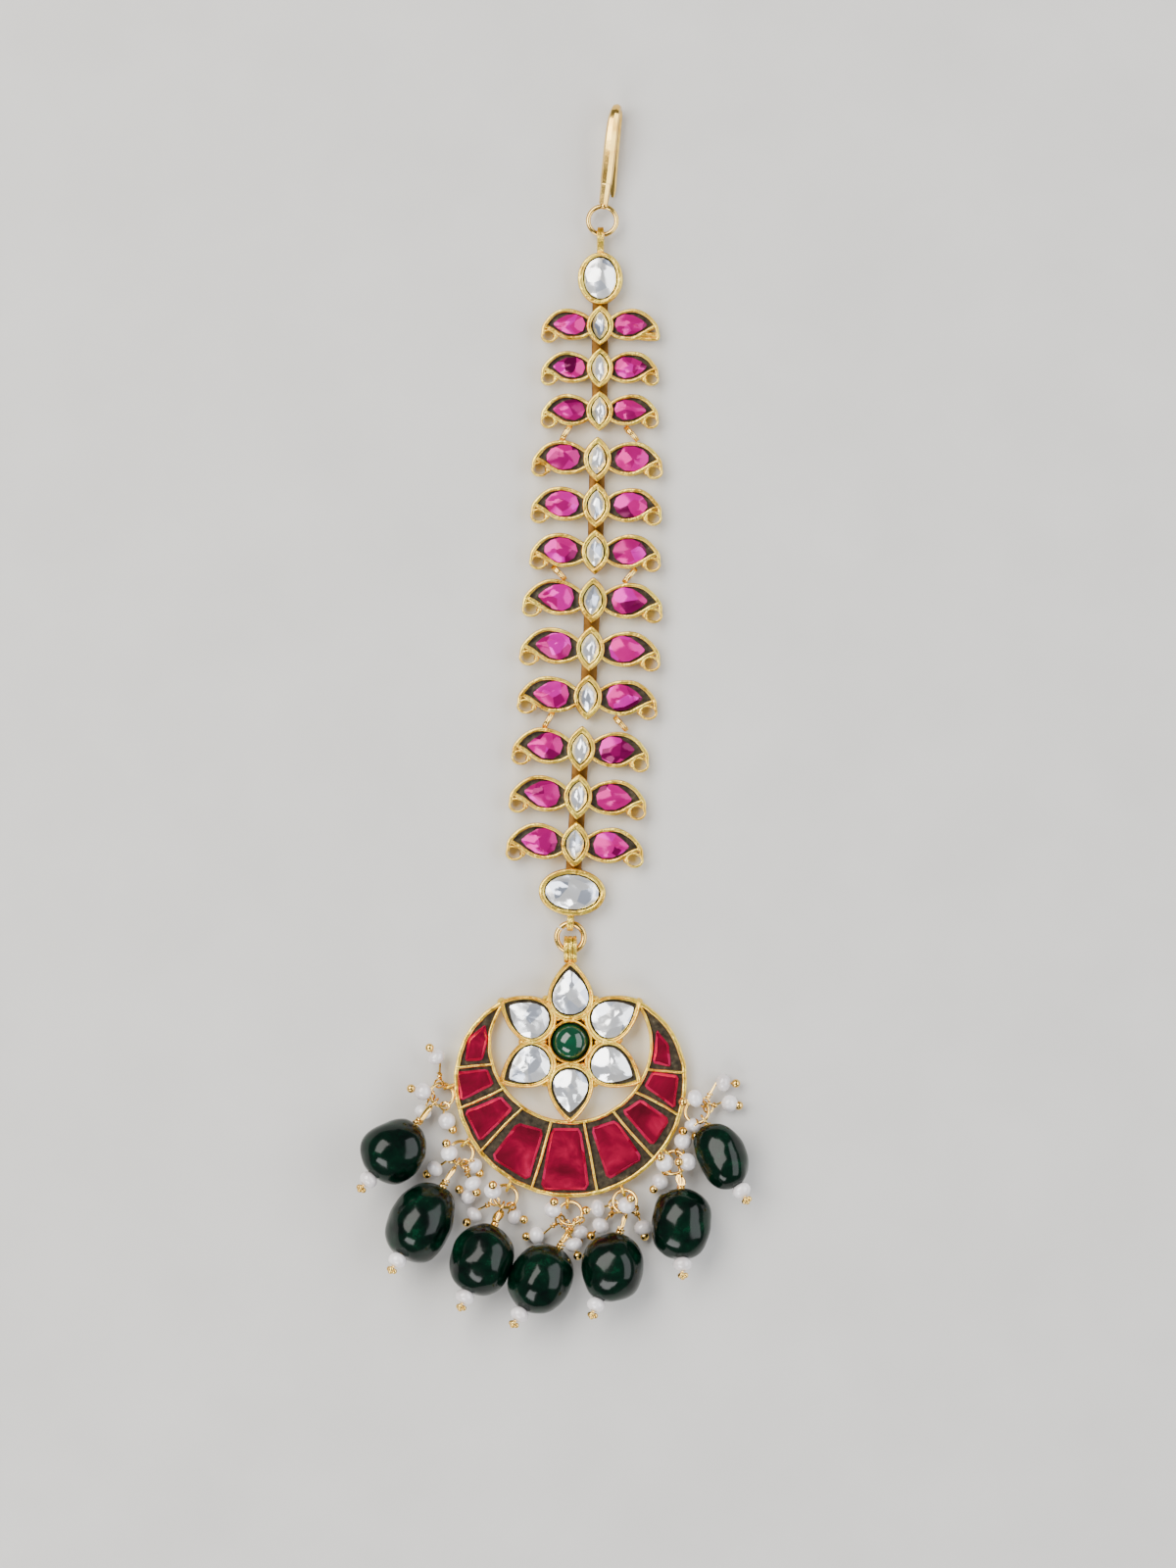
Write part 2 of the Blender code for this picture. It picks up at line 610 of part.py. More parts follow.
# Hook
def hook(hole):
    """The flat hook: its eye hangs in the top loop, and its arm turns back underneath."""
    line = heading(HOOK_LEAN)
    right = Vector((line.y, -line.x, 0))
    eye_centre = hole + line * EYE_RADIUS + UP * COUPLING_HEIGHT
    eye = wire_ring(eye_centre, line, right, EYE_RADIUS, EYE_RADIUS, EYE_WIRE)
    foot = hole + line * (2 * EYE_RADIUS + EYE_WIRE / 2 - SOLDER)
    low = HOOK_WIRE * max(row["thick"] for row in HOOK_LINE if row["high"] == 0) / 2
    knots = [foot + line * HOOK_LENGTH * row["along"] + right * HOOK_WIRE * row["side"]
             + UP * (low + HOOK_RISE * row["high"]) for row in HOOK_LINE]
    widths = [HOOK_WIRE * row["thick"] for row in HOOK_LINE]
    shank = tube(knots, widths, 8)
    unite("hair_hook", [shank, eye], [], [GOLD])


# Pendant
def from_flower(angle, radius):
    turn = math.radians(angle)
    return Vector((math.cos(turn) * radius, math.sin(turn) * radius, 0))


PETAL_REACH = CENTRE_RADIUS - SOLDER + PETAL_LENGTH


def horn_share(angle):
    height = math.degrees(math.asin(math.sin(math.radians(angle))))
    return max(0.0, (height - HORN_START) / (HORN_ANGLE - HORN_START))


def outer_edge(angle):
    along = -CRESCENT_DROP * math.sin(math.radians(angle))
    radius = along + math.sqrt(along ** 2 - CRESCENT_DROP ** 2 + (PETAL_REACH + CRESCENT_ROOM) ** 2)
    return radius * (1 - OUTER_PINCH * horn_share(angle) ** 2)


def inner_edge(angle):
    return (PETAL_REACH - SOLDER) * (1 - INNER_PINCH * horn_share(angle) ** 2)


def band(start, end, rim, side, points):
    """A stretch of the crescent between two angles, drawn in by a rim and at its two sides."""
    outer, inner = [], []
    for arc, edge, draw_in in ((outer, outer_edge, -rim), (inner, inner_edge, rim)):
        for i in range(points):
            share = i / (points - 1)
            trim = math.degrees(side / (edge(start + (end - start) * share) + draw_in))
            angle = start + trim + (end - start - 2 * trim) * share
            arc.append(from_flower(angle, edge(angle) + draw_in))
    return outer + inner[::-1]


def cell_outline(start, end, lac):
    """One cell: the rims stand all round it and half a divider at each side."""
    return band(start, end, CRESCENT_RIM + lac, DIVIDER / 2 + lac, CELL_POINTS)


def drop_hole(drop):
    """Where a drop's ring passes through its loop on the crescent."""
    loop_radius = WIRE + GAP
    edge = outer_edge(drop["edge"]) + loop_radius + WIRE / 2 - SOLDER
    return from_flower(drop["edge"], edge) + UP * DROP_LOOP_HEIGHT


# One row for each drop, left to right: edge is its loop's place round the crescent, swing the
# way its ring hangs and set the way its bead lies, in degrees round from the right; neck is the
# wrapped wire above the bead. pearls holds the bearing and the reach of each from the ring.
DROPS = (
    {"edge": 200.4, "swing": 227.3, "set": 229.2, "neck": 3.5 * MM, "length": 8.8 * MM, "width": 8.6 * MM,
     "pearls": ((98, 5.2 * MM), (169, 2.6 * MM), (280, 3.6 * MM))},
    {"edge": 223.9, "swing": 247.3, "set": 236.3, "neck": 4.1 * MM, "length": 9.6 * MM, "width": 9.0 * MM,
     "pearls": ((176, 2.2 * MM), (211, 4.3 * MM), (313, 2.5 * MM), (282, 6.0 * MM))},
    {"edge": 246.9, "swing": 252.0, "set": 247.5, "neck": 2.4 * MM, "length": 9.4 * MM, "width": 8.1 * MM,
     "pearls": ((154, 2.2 * MM), (209, 5.1 * MM), (293, 2.9 * MM))},
    {"edge": 268.9, "swing": 286.0, "set": 241.0, "neck": 3.6 * MM, "length": 9.2 * MM, "width": 8.2 * MM,
     "pearls": ((165, 2.4 * MM), (213, 5.3 * MM), (318, 4.2 * MM))},
    {"edge": 289.4, "swing": 280.0, "set": 251.1, "neck": 2.6 * MM, "length": 9.2 * MM, "width": 8.6 * MM,
     "pearls": ((28, 2.4 * MM), (196, 3.2 * MM), (305, 4.2 * MM))},
    {"edge": 311.0, "swing": 305.5, "set": 272.0, "neck": 1.9 * MM, "length": 9.2 * MM, "width": 8.2 * MM,
     "pearls": ((215, 2.9 * MM), (14, 2.3 * MM), (60, 2.9 * MM))},
    {"edge": 332.8, "swing": 311.2, "set": 301.7, "neck": 0.3 * MM, "length": 8.8 * MM, "width": 7.2 * MM,
     "pearls": ((80, 2.5 * MM), (45, 5.3 * MM), (256, 2.4 * MM))},
)


def pendant():
    """The soldered pendant frame and its stones; returns the hole of its bail."""
    right, line = Vector((1, 0, 0)), Vector((0, 1, 0))
    start, end = 180 - HORN_ANGLE, 360 + HORN_ANGLE
    solids = [prism(band(start, end, 0, 0, CRESCENT_POINTS), 0, CRESCENT_TOP)]
    cuts = []
    edges = (180 - END_CELL_RISE, *DIVIDER_ANGLES, 360 + END_CELL_RISE)
    ruby_edges = (180 - END_RUBY_RISE, *DIVIDER_ANGLES, 360 + END_RUBY_RISE)
    for i in range(len(edges) - 1):
        cuts.append(prism(cell_outline(edges[i], edges[i + 1], 0), CRESCENT_FLOOR, 2 * CRESCENT_TOP))
        cut_stone(f"ruby_stone_{i + 1}", cell_outline(ruby_edges[i], ruby_edges[i + 1], LAC_GAP),
                  CRESCENT_FLOOR + SEAT, RUBY_TOP, RUBY)
    for petal in range(PETALS):
        away = from_flower(90 - 360 / PETALS * petal, 1)
        centre = away * (PETAL_REACH - PETAL_LENGTH / 2)
        lift = PETAL_STAGGER * (petal % 2)
        outline = turned(gem_outline(PETAL_LENGTH, PETAL_WIDTH, PETAL_TIP, 0, CUP_SIDES), centre, away)
        inner = turned(gem_outline(PETAL_LENGTH - 2 * PETAL_END_RIM, PETAL_WIDTH - 2 * CUP_RIM,
                                   PETAL_TIP, 0, CUP_SIDES), centre, away)
        solids.append(cup(outline, inner, PETAL_BACK + lift, CUP_FLOOR + lift, PETAL_TOP + lift))
        tail = CUP_RIM + PEAR_MARGIN
        length = PETAL_LENGTH - tail - CUP_RIM - PEAR_END
        stone_centre = away * (PETAL_REACH - PETAL_LENGTH + tail + length / 2)
        stone = gem_outline(length, PETAL_WIDTH - 2 * tail, PETAL_TIP, 0, CUP_SIDES)
        cut_stone(f"pear_stone_{petal + 1}", turned(stone, stone_centre, away),
                  CUP_FLOOR + PETAL_STAGGER + SEAT, PETAL_TOP + PEAR_RISE, WHITE)
    middle = Vector((0, 0, 0))
    solids.append(cup(circle(middle, CENTRE_RADIUS, OVAL_SIDES),
                      circle(middle, CENTRE_RADIUS - CENTRE_RIM, OVAL_SIDES),
                      CENTRE_BACK, CUP_FLOOR + 2 * PETAL_STAGGER, CENTRE_TOP))
    cabochon()
    bail_hole = RING_WIRE + 2 * GAP + BAIL_PLAY
    bail_radius = (bail_hole + BAIL_WIRE) / 2
    bail_low = PETAL_REACH - SOLDER
    bail_centre = line * (bail_low + BAIL_WIRE / 2 + bail_radius)
    solids.append(wire_ring(bail_centre + UP * COUPLING_HEIGHT, line, UP, bail_radius,
                            BAIL_HALF_HEIGHT, BAIL_WIRE, BAIL_WIDEN))
    for drop in DROPS:
        outward = from_flower(drop["edge"], 1)
        solids.append(wire_ring(drop_hole(drop), outward, UP, WIRE + GAP, WIRE + GAP, WIRE))
    unite("pendant_frame", solids, cuts, [GOLD])
    return line * (bail_low + BAIL_WIRE + GAP + RING_WIRE / 2)


def cabochon():
    """The round green stone, domed on its girdle."""
    radius = CENTRE_RADIUS - CENTRE_RIM - SEAT
    back = CUP_FLOOR + 3 * SEAT
    rings = [at_height(circle(Vector(), radius, OVAL_SIDES), back)]
    for step in range(1, DOME_STEPS + 1):
        turn = math.radians(DOME_RISE * step)
        dome = circle(Vector(), radius * math.cos(turn), OVAL_SIDES)
        rings.append(at_height(dome, back + CABOCHON_HEIGHT * math.sin(turn)))
    place("centre_cabochon", loft(rings), [GREEN_GLASS])


def pendant_ring(low):
    """The round ring that joins the pendant's bail to section 4; returns its upper crossing."""
    radius = (BAIL_WIRE + LOOP_WIRE + RING_WIRE + RING_PLAY) / 2
    line, right = Vector((0, 1, 0)), Vector((1, 0, 0))
    centre = low + line * radius + UP * COUPLING_HEIGHT
    place("pendant_ring", wire_ring(centre, line, right, radius, radius, RING_WIRE), [GOLD])
    return low + line * radius * 2


# Drops
def drop_and_cluster(number, drop):
    """One green bead with its pearl and pin, and the ring of pearls that it hangs from."""
    tilt = math.radians(BEAD_TILT)
    flat = from_flower(drop["set"], 1)
    axis = flat * math.cos(tilt) + UP * math.sin(tilt)
    eye_radius = WIRE + GAP
    reach = eye_radius + drop["neck"] + drop["length"] / 2
    eye_height = drop["width"] / 2 - reach * math.sin(tilt)
    hole = drop_hole(drop)
    rise = eye_height - hole.z
    across = math.sqrt((2 * CLUSTER_RADIUS) ** 2 - rise ** 2)
    eye = Vector((hole.x, hole.y, eye_height)) + from_flower(drop["swing"], across)
    neck_start = eye_radius - WIRE / 4
    start = reach - drop["length"] / 2
    profile = [(neck_start, NECK_WIRE / 2), (start, NECK_WIRE / 2)]
    slots = [0]
    for slot, length, width, bands in ((1, drop["length"], drop["width"], 5),
                                       (2, DROP_PEARL, DROP_PEARL, 3), (0, PIN_HEAD, PIN_HEAD, 2)):
        for band in range(bands + 1):
            turn = math.pi * (POLE + (1 - 2 * POLE) * band / bands)
            profile.append((start + length / 2 * (1 - math.cos(turn)), width / 2 * math.sin(turn)))
            slots.append(slot)
        start += length - HOLE_BITE
    body = turned_profile(eye, axis, profile, [*slots, 0])
    between = from_flower((drop["swing"] + drop["set"]) / 2, 1)
    loop = wire_ring(eye, between, UP, eye_radius, eye_radius, WIRE)
    unite(f"drop_{number}", [body, loop], [], [GOLD, GREEN_BEAD, PEARL_WHITE])

    middle = (hole + eye) / 2
    along = (eye - hole).normalized()
    side = UP.cross(along).normalized()
    solids = [wire_ring(middle, along, side, CLUSTER_RADIUS, CLUSTER_RADIUS, WIRE)]
    for bearing, distance in drop["pearls"]:
        centre = Vector((middle.x, middle.y, PEARL / 2)) + from_flower(bearing, distance)
        turn = (bearing - drop["swing"] + 180) % 360 - 180
        turn = math.radians(math.copysign(min(max(abs(turn), PIN_CLEAR), 180 - PIN_CLEAR), turn))
        start = middle + (along * math.cos(turn) + side * math.sin(turn)) * CLUSTER_RADIUS
        solids.append(tube([start, centre], [WIRE, WIRE], 4))
        solids.append(pearl(centre, start - centre))
    unite(f"pearl_cluster_{number}", solids, [], [GOLD, GREEN_BEAD, PEARL_WHITE])


# The whole tikka, with its origin under the middle of its box
bail = pendant()
crossing = pendant_ring(bail)
hook(strip(crossing))
for number, drop in enumerate(DROPS, start=1):
    drop_and_cluster(number, drop)

bpy.context.view_layer.update()
corners = [thing.matrix_world @ vertex.co for thing in root.children for vertex in thing.data.vertices]
low = Vector([min(corner[axis] for corner in corners) for axis in range(3)])
high = Vector([max(corner[axis] for corner in corners) for axis in range(3)])
root.location = (-(low.x + high.x) / 2, -(low.y + high.y) / 2, -low.z)
bpy.context.view_layer.update()
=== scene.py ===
# %% [markdown]
# A maang tikka lies face up on a pale table. It is a long hair ornament: a hook, a strip of four
# soldered sections with pink and white stones, and a crescent pendant with green beads and pearls.
# The solid model already holds every piece at its real size. This lesson dresses it: each piece is
# modelled again with fine rims, facets and wrapped wire, in the place that the solid gives it.
# Blender's noise gets a fixed seed, because its vectors would otherwise differ from run to run.

# %% Load the solid model
import math
import random

import bmesh
import bpy
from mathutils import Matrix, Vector, noise


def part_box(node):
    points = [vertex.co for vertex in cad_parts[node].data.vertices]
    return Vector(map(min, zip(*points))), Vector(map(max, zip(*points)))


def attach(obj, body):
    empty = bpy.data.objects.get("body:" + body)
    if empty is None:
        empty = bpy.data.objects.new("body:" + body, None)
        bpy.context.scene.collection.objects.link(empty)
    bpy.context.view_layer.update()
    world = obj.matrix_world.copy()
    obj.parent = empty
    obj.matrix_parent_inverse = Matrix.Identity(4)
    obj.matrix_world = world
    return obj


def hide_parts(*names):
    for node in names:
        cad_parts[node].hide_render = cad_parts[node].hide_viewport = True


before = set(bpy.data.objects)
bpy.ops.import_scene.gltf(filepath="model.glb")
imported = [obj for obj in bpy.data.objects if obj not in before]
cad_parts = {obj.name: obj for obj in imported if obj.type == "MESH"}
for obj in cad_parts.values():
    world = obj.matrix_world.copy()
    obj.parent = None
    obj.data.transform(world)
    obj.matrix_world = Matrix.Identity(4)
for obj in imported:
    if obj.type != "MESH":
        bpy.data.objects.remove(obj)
noise.seed_set(5)
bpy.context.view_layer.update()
print("solid model:", len(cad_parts), "nodes")

# %% [markdown]
# Everything is measured in metres, so a millimetre gets a name. The helpers below find the middle
# of a solid piece and give directions on the table. Reading places from the solids keeps each
# dressed piece where the real one is held. `table` gives each row of numbers its columns' names.

# %% Places and directions
MM = 0.001
UP = Vector((0, 0, 1))


def corners_of(node):
    return [Vector(corner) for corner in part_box(node)]


def at_height(point, height):
    return Vector((point.x, point.y, height))


def middle_of(node):
    low, high = corners_of(node)
    return at_height((low + high) / 2, 0)


def right_of(line):
    return Vector((line.y, -line.x, 0))


def bearing(degrees, reach=1.0):
    turn = math.radians(degrees)
    return Vector((math.cos(turn) * reach, math.sin(turn) * reach, 0))


def table(columns, *rows):
    return [dict(zip(columns.split(), row)) for row in rows]


FLOWER = middle_of("centre_cabochon")
print("flower at", [round(c / MM, 2) for c in FLOWER])

# %% [markdown]
# The camera comes first, because everything is judged through it. The tikka is seen from straight
# above. A picture 1600 pixels high at 7.5 pixels to a millimetre covers about 213 mm, and a long
# lens a metre up keeps the sides upright, as a product picture does.

# %% Camera
PIXELS_PER_MM = 7.5
PICTURE_HEIGHT = 1600
PICTURE_MIDDLE = (600.0, 800.0)
FLOWER_PIXEL = (582.0, 1062.4)
CAMERA_HEIGHT = 1.0
SENSOR = 0.036

view_height = PICTURE_HEIGHT / PIXELS_PER_MM * MM
aim = FLOWER + Vector(((PICTURE_MIDDLE[0] - FLOWER_PIXEL[0]) / PIXELS_PER_MM * MM,
                       (FLOWER_PIXEL[1] - PICTURE_MIDDLE[1]) / PIXELS_PER_MM * MM, 0))
lens = bpy.data.cameras.new("camera")
lens.sensor_fit = "VERTICAL"
lens.sensor_height = SENSOR * 1000
lens.lens = SENSOR * 1000 * CAMERA_HEIGHT / view_height
lens.clip_start = 0.01
camera = bpy.data.objects.new("camera", lens)
camera.location = aim + UP * CAMERA_HEIGHT
bpy.context.scene.collection.objects.link(camera)
bpy.context.scene.camera = camera
print("camera over", [round(c / MM, 1) for c in aim], "lens", round(lens.lens, 1), "mm")

# %% [markdown]
# Polished gold shows what stands round it, so a jewel is lit with large soft lights and some
# darker gaps between them. One big panel up and to the left gives the rims their bright tops, a
# lower one on the right fills the shadows, and a narrow strip adds small hard glints. Nothing
# stands right above, because the flat stones and the lac would mirror it to the camera.

# %% Lights
def panel(name, place, size, power, colour):
    light = bpy.data.lights.new(name, "AREA")
    light.shape = "RECTANGLE"
    light.size, light.size_y = size
    light.energy = power
    light.color = colour
    lamp = bpy.data.objects.new(name, light)
    lamp.location = aim + Vector(place)
    lamp.rotation_euler = (-Vector(place)).to_track_quat("-Z", "Y").to_euler()
    bpy.context.scene.collection.objects.link(lamp)


panel("key_panel", (-0.36, 0.26, 0.60), (0.80, 0.46), 9.5, (1.0, 0.97, 0.92))
panel("fill_panel", (0.52, 0.05, 0.40), (0.95, 0.44), 5.2, (0.95, 0.97, 1.0))
panel("glint_strip", (-0.25, -0.50, 0.38), (0.42, 0.24), 2.8, (1.0, 1.0, 1.0))

world = bpy.data.worlds.new("studio")
world.use_nodes = True
world.node_tree.nodes["Background"].inputs["Color"].default_value = (0.80, 0.82, 0.86, 1)
world.node_tree.nodes["Background"].inputs["Strength"].default_value = 0.26
bpy.context.scene.world = world
print("panels: 3")


# %% [markdown]
# Materials come next. Each is a node tree on one Principled shader. Small helpers keep the trees
# short: one adds a node, one makes a noise, and one turns a pattern into colours. The patterns
# use object coordinates, so they stay on the metal wherever the camera goes.

# %% Node helpers
def add_node(tree, kind, **values):
    node = tree.nodes.new(kind)
    for key, value in values.items():
        if key in node.inputs:
            node.inputs[key].default_value = value
        else:
            setattr(node, key, value)
    return node


def pattern(tree, kind, output, **values):
    place = add_node(tree, "ShaderNodeTexCoord")
    texture = add_node(tree, kind, **values)
    tree.links.new(place.outputs["Object"], texture.inputs["Vector"])
    return texture.outputs[output]


def noise_pattern(tree, scale, detail=3.0, rough=0.55, swirl=0.0):
    return pattern(tree, "ShaderNodeTexNoise", "Fac", Scale=scale, Detail=detail, Roughness=rough,
                   Distortion=swirl)


def cell_pattern(tree, scale, output="Color"):
    return pattern(tree, "ShaderNodeTexVoronoi", output, Scale=scale)


def ramp(tree, factor, stops):
    colours = add_node(tree, "ShaderNodeValToRGB")
    band = colours.color_ramp
    while len(band.elements) < len(stops):
        band.elements.new(0.5)
    for element, (place, colour) in zip(band.elements, stops):
        element.position = place
        element.color = (*colour, 1)
    tree.links.new(factor, colours.inputs["Fac"])
    return colours.outputs["Color"]


def bump(tree, shader, height, distance, strength=1.0, under=None):
    node = add_node(tree, "ShaderNodeBump", Strength=strength, Distance=distance)
    tree.links.new(height, node.inputs["Height"])
    if under:
        tree.links.new(under, node.inputs["Normal"])
    tree.links.new(node.outputs["Normal"], shader.inputs["Normal"])
    return node.outputs["Normal"]


def spread(tree, factor, low, high):
    node = add_node(tree, "ShaderNodeMapRange")
    node.inputs["To Min"].default_value = low
    node.inputs["To Max"].default_value = high
    tree.links.new(factor, node.inputs["Value"])
    return node.outputs["Result"]


# %% [markdown]
# Every material but the foiled stones is made in the same way. A noise picks from a few colours,
# and one or more bumps, given as scale, detail and depth, roughen the skin. The roughness is one
# value, or a noise's scale and the two values it moves between. The rest are plain inputs.

# %% The common finish
INPUTS = {"metallic": "Metallic", "gloss": "Specular IOR Level", "bend": "IOR", "coat": "Coat Weight",
          "coat_rough": "Coat Roughness"}


def new_material(name, values):
    material = bpy.data.materials.new(name)
    material.use_nodes = True
    shader = material.node_tree.nodes["Principled BSDF"]
    for key, value in values.items():
        shader.inputs[INPUTS[key]].default_value = value
    return material, material.node_tree, shader


def finish(name, tone, colours, rough, bumps=(), **values):
    material, tree, shader = new_material(name, values)
    tree.links.new(ramp(tree, noise_pattern(tree, *tone), colours), shader.inputs["Base Color"])
    if isinstance(rough, float):
        shader.inputs["Roughness"].default_value = rough
    else:
        tree.links.new(spread(tree, noise_pattern(tree, rough[0]), *rough[1:]), shader.inputs["Roughness"])
    under = None
    for scale, detail, depth in bumps:
        under = bump(tree, shader, noise_pattern(tree, scale, detail), depth, 1.0, under)
    return material


print("inputs that a finish can set:", len(INPUTS))

# %% [markdown]
# The settings are gold plate over brass, hammered by hand and a little worn: the tops are pale and
# bright, and brown has stayed in the dips. Pointiness, which Cycles reads from the mesh, could
# find the edges, but it isn't carried by an export, so a noise mixes the tones instead. A broad
# bump makes the hammered dips, and a fine one the grain of a casting. Black lac, a resin, holds the
# stones: brown black, a little glossy, dusty and uneven.

# %% Gold and lac
ANTIQUE_GOLD = finish("antique_gold", (420.0, 4.0), ((0.30, (0.50, 0.24, 0.02)), (0.42, (0.94, 0.58, 0.07)),
                                                     (0.60, (1.00, 0.74, 0.11))), (900.0, 0.22, 0.40),
                      ((1100.0, 2.0, 0.00012), (4200.0, 2.0, 0.00005)), metallic=1.0)
POLISHED_GOLD = finish("polished_gold", (420.0, 4.0),
                       ((0.25, (0.66, 0.36, 0.06)), (0.55, (0.98, 0.66, 0.18))),
                       (900.0, 0.10, 0.22), ((700.0, 2.0, 0.00002),), metallic=1.0)
# Painted shade: a much darker copy of the gold, for the strip behind the cups and the crescent's sides, which
# lie in shade below the rims.
SHADED_GOLD = finish("shaded_gold", (420.0, 4.0), ((0.30, (0.06, 0.026, 0.005)), (0.65, (0.16, 0.075, 0.018))),
                   (900.0, 0.34, 0.55), ((900.0, 2.0, 0.00006),), metallic=1.0)
LAC = finish("black_lac", (1400.0, 5.0), ((0.36, (0.014, 0.010, 0.005)), (0.60, (0.050, 0.039, 0.021)),
                                          (0.82, (0.15, 0.13, 0.085))), (800.0, 0.35, 0.7),
             ((2200.0, 3.0, 0.00005),), gloss=0.25)
print("metal and lac:", ANTIQUE_GOLD.name, POLISHED_GOLD.name, SHADED_GOLD.name, LAC.name)


# %% [markdown]
# The stones are glass laid on bright foil, which is why they glow in patches. Real glass over foil
# could be traced with refraction, but that is slow and grainy and an export loses it. So the glow
# is painted into the stone: over the stone's own colour, cells of bright and dark tones are painted
# reflections that break it up as facets do, a part metallic shader gives the foil's flash, and a clear coat
# is the polished glass on top.

# %% Foiled stones with painted reflections
def glint_painted_stone(name, stops, scale, facet_depth, **values):
    material, tree, shader = new_material(name, {"coat_rough": 0.03, **values})
    split = add_node(tree, "ShaderNodeSeparateColor")
    # The cells' bright and dark tones are painted reflections of facets and foil over the stone's own colour.
    tree.links.new(cell_pattern(tree, scale), split.inputs["Color"])
    tree.links.new(ramp(tree, split.outputs["Red"], stops), shader.inputs["Base Color"])
    tree.links.new(spread(tree, split.outputs["Green"], 0.06, 0.30), shader.inputs["Roughness"])
    facets = bump(tree, shader, cell_pattern(tree, scale, "Distance"), facet_depth)
    bump(tree, shader, noise_pattern(tree, scale * 0.8, 2.0), facet_depth * 0.7, 0.8, facets)
    return material


WHITE_STONE = glint_painted_stone("white_stone", ((0.0, (0.26, 0.30, 0.40)), (0.14, (0.56, 0.61, 0.72)),
                                           (0.30, (0.92, 0.94, 0.98)), (0.9, (1.0, 1.0, 1.0))),
                           560.0, 0.00012, metallic=0.70, coat=1.0)
PINK_STONE = glint_painted_stone("pink_stone", ((0.0, (0.09, 0.0, 0.035)), (0.22, (0.32, 0.0, 0.12)),
                                         (0.55, (0.52, 0.0, 0.19)), (0.95, (0.58, 0.0, 0.34))),
                          400.0, 0.00006, metallic=0.30, coat=0.05, gloss=0.12)
RUBY_BEVEL_HIGHLIGHT = glint_painted_stone("ruby_bevel_highlight", ((0.0, (0.40, 0.0, 0.045)), (0.5, (0.80, 0.0, 0.10)),
                                       (0.9, (0.95, 0.01, 0.18))), 500.0, 0.00005, metallic=0.45, coat=0.3)
print("foiled stones:", WHITE_STONE.name, PINK_STONE.name, RUBY_BEVEL_HIGHLIGHT.name)

# %% [markdown]
# The rubies are thicker slabs with hardly any facets on top, so their body is softer: swirling
# streaks of crimson, from the crinkled foil beneath, under an uneven polish. Only their bevels use
# the brighter foiled finish above, a painted highlight where the bevel catches the light. The round
# stone in the flower is plain green glass, so it is deep and even. The hanging beads are dark green,
# tumbled until they shine, with small dents and pale veins. The pearls have two close pale tones under a
# clear, smooth coat.

# %% Rubies, green glass, beads and pearls
RUBY_STONE = finish("ruby_stone", (230.0, 5.0, 0.55, 0.5),
                    ((0.30, (0.08, 0.0, 0.007)), (0.50, (0.20, 0.0, 0.020)), (0.64, (0.38, 0.0, 0.038)),
                     (0.78, (0.66, 0.01, 0.09))),
                    (500.0, 0.08, 0.24), ((260.0, 2.0, 0.00014),), metallic=0.30, coat=0.3, coat_rough=0.04)
CABOCHON = finish("green_cabochon", (260.0, 2.0), ((0.32, (0.0, 0.008, 0.004)), (0.68, (0.0, 0.060, 0.024))),
                  0.10, ((700.0, 3.0, 0.00003),), coat=0.5, coat_rough=0.04)
GREEN_BEAD = finish("green_bead", (330.0, 4.0, 0.7),
                    ((0.36, (0.0, 0.0025, 0.0015)), (0.58, (0.0, 0.0100, 0.0045)),
                     (0.80, (0.001, 0.045, 0.018))),
                    (400.0, 0.08, 0.20), ((300.0, 2.0, 0.00010),), bend=1.33)
PEARL = finish("pearl", (240.0, 2.0), ((0.35, (0.66, 0.60, 0.60)), (0.65, (0.92, 0.89, 0.90))),
               0.24, ((700.0, 3.0, 0.00004),), gloss=0.8, coat=1.0, coat_rough=0.05)
print("rubies, green and pearl:", RUBY_STONE.name, CABOCHON.name, GREEN_BEAD.name, PEARL.name)


# %% [markdown]
# Now the mesh tools. Every piece is made of vertices and faces in code. A Shape collects them,
# with a finish for each face, and can hold many small parts: a section is one Shape with its cups,
# wings and curls together. finish_piece turns it into one object that rides on the solid model.

# %% Mesh tools
class Shape:
    def __init__(self):
        self.points, self.faces, self.slots, self.flat = [], [], [], []

    def add(self, points, faces, slot=0, flat=False):
        start = len(self.points)
        self.points += [tuple(point) for point in points]
        for face in faces:
            self.faces.append([start + i for i in face])
            self.slots.append(slot)
            self.flat.append(flat)


def skin(rings, closed=False, shift=0):
    """Points and faces of a skin through rings of equal count; shift turns the closing band."""
    count = len(rings[0])
    faces = []
    for i in range(len(rings) if closed else len(rings) - 1):
        j = (i + 1) % len(rings)
        turn = shift if j == 0 else 0
        for k in range(count):
            n = (k + 1) % count
            faces.append((i * count + k, i * count + n, j * count + (n + turn) % count,
                          j * count + (k + turn) % count))
    return [point for ring in rings for point in ring], faces


def loft(shape, rings, slot=0, flat=False, close=(True, True)):
    """A skin with flat caps where close says so."""
    points, faces = skin(rings)
    count = len(rings[0])
    if close[0]:
        faces.append(tuple(range(count))[::-1])
    if close[1]:
        faces.append(tuple(range(len(points) - count, len(points))))
    shape.add(points, faces, slot, flat)


def finish_piece(name, shape, finishes, replaces=(), weld=0.000004, sharp=40):
    mesh = bpy.data.meshes.new(name)
    mesh.from_pydata(shape.points, [], shape.faces)
    for material in finishes:
        mesh.materials.append(material)
    mesh.polygons.foreach_set("material_index", shape.slots)
    mesh.polygons.foreach_set("use_smooth", [not flat for flat in shape.flat])
    work = bmesh.new()
    work.from_mesh(mesh)
    bmesh.ops.remove_doubles(work, verts=work.verts, dist=weld)
    bmesh.ops.recalc_face_normals(work, faces=work.faces)
    work.to_mesh(mesh)
    work.free()
    mesh.set_sharp_from_angle(angle=math.radians(sharp))
    piece = bpy.data.objects.new(name, mesh)
    bpy.context.scene.collection.objects.link(piece)
    if replaces:
        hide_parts(*replaces)
    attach(piece, "root")


print("mesh tools ready")


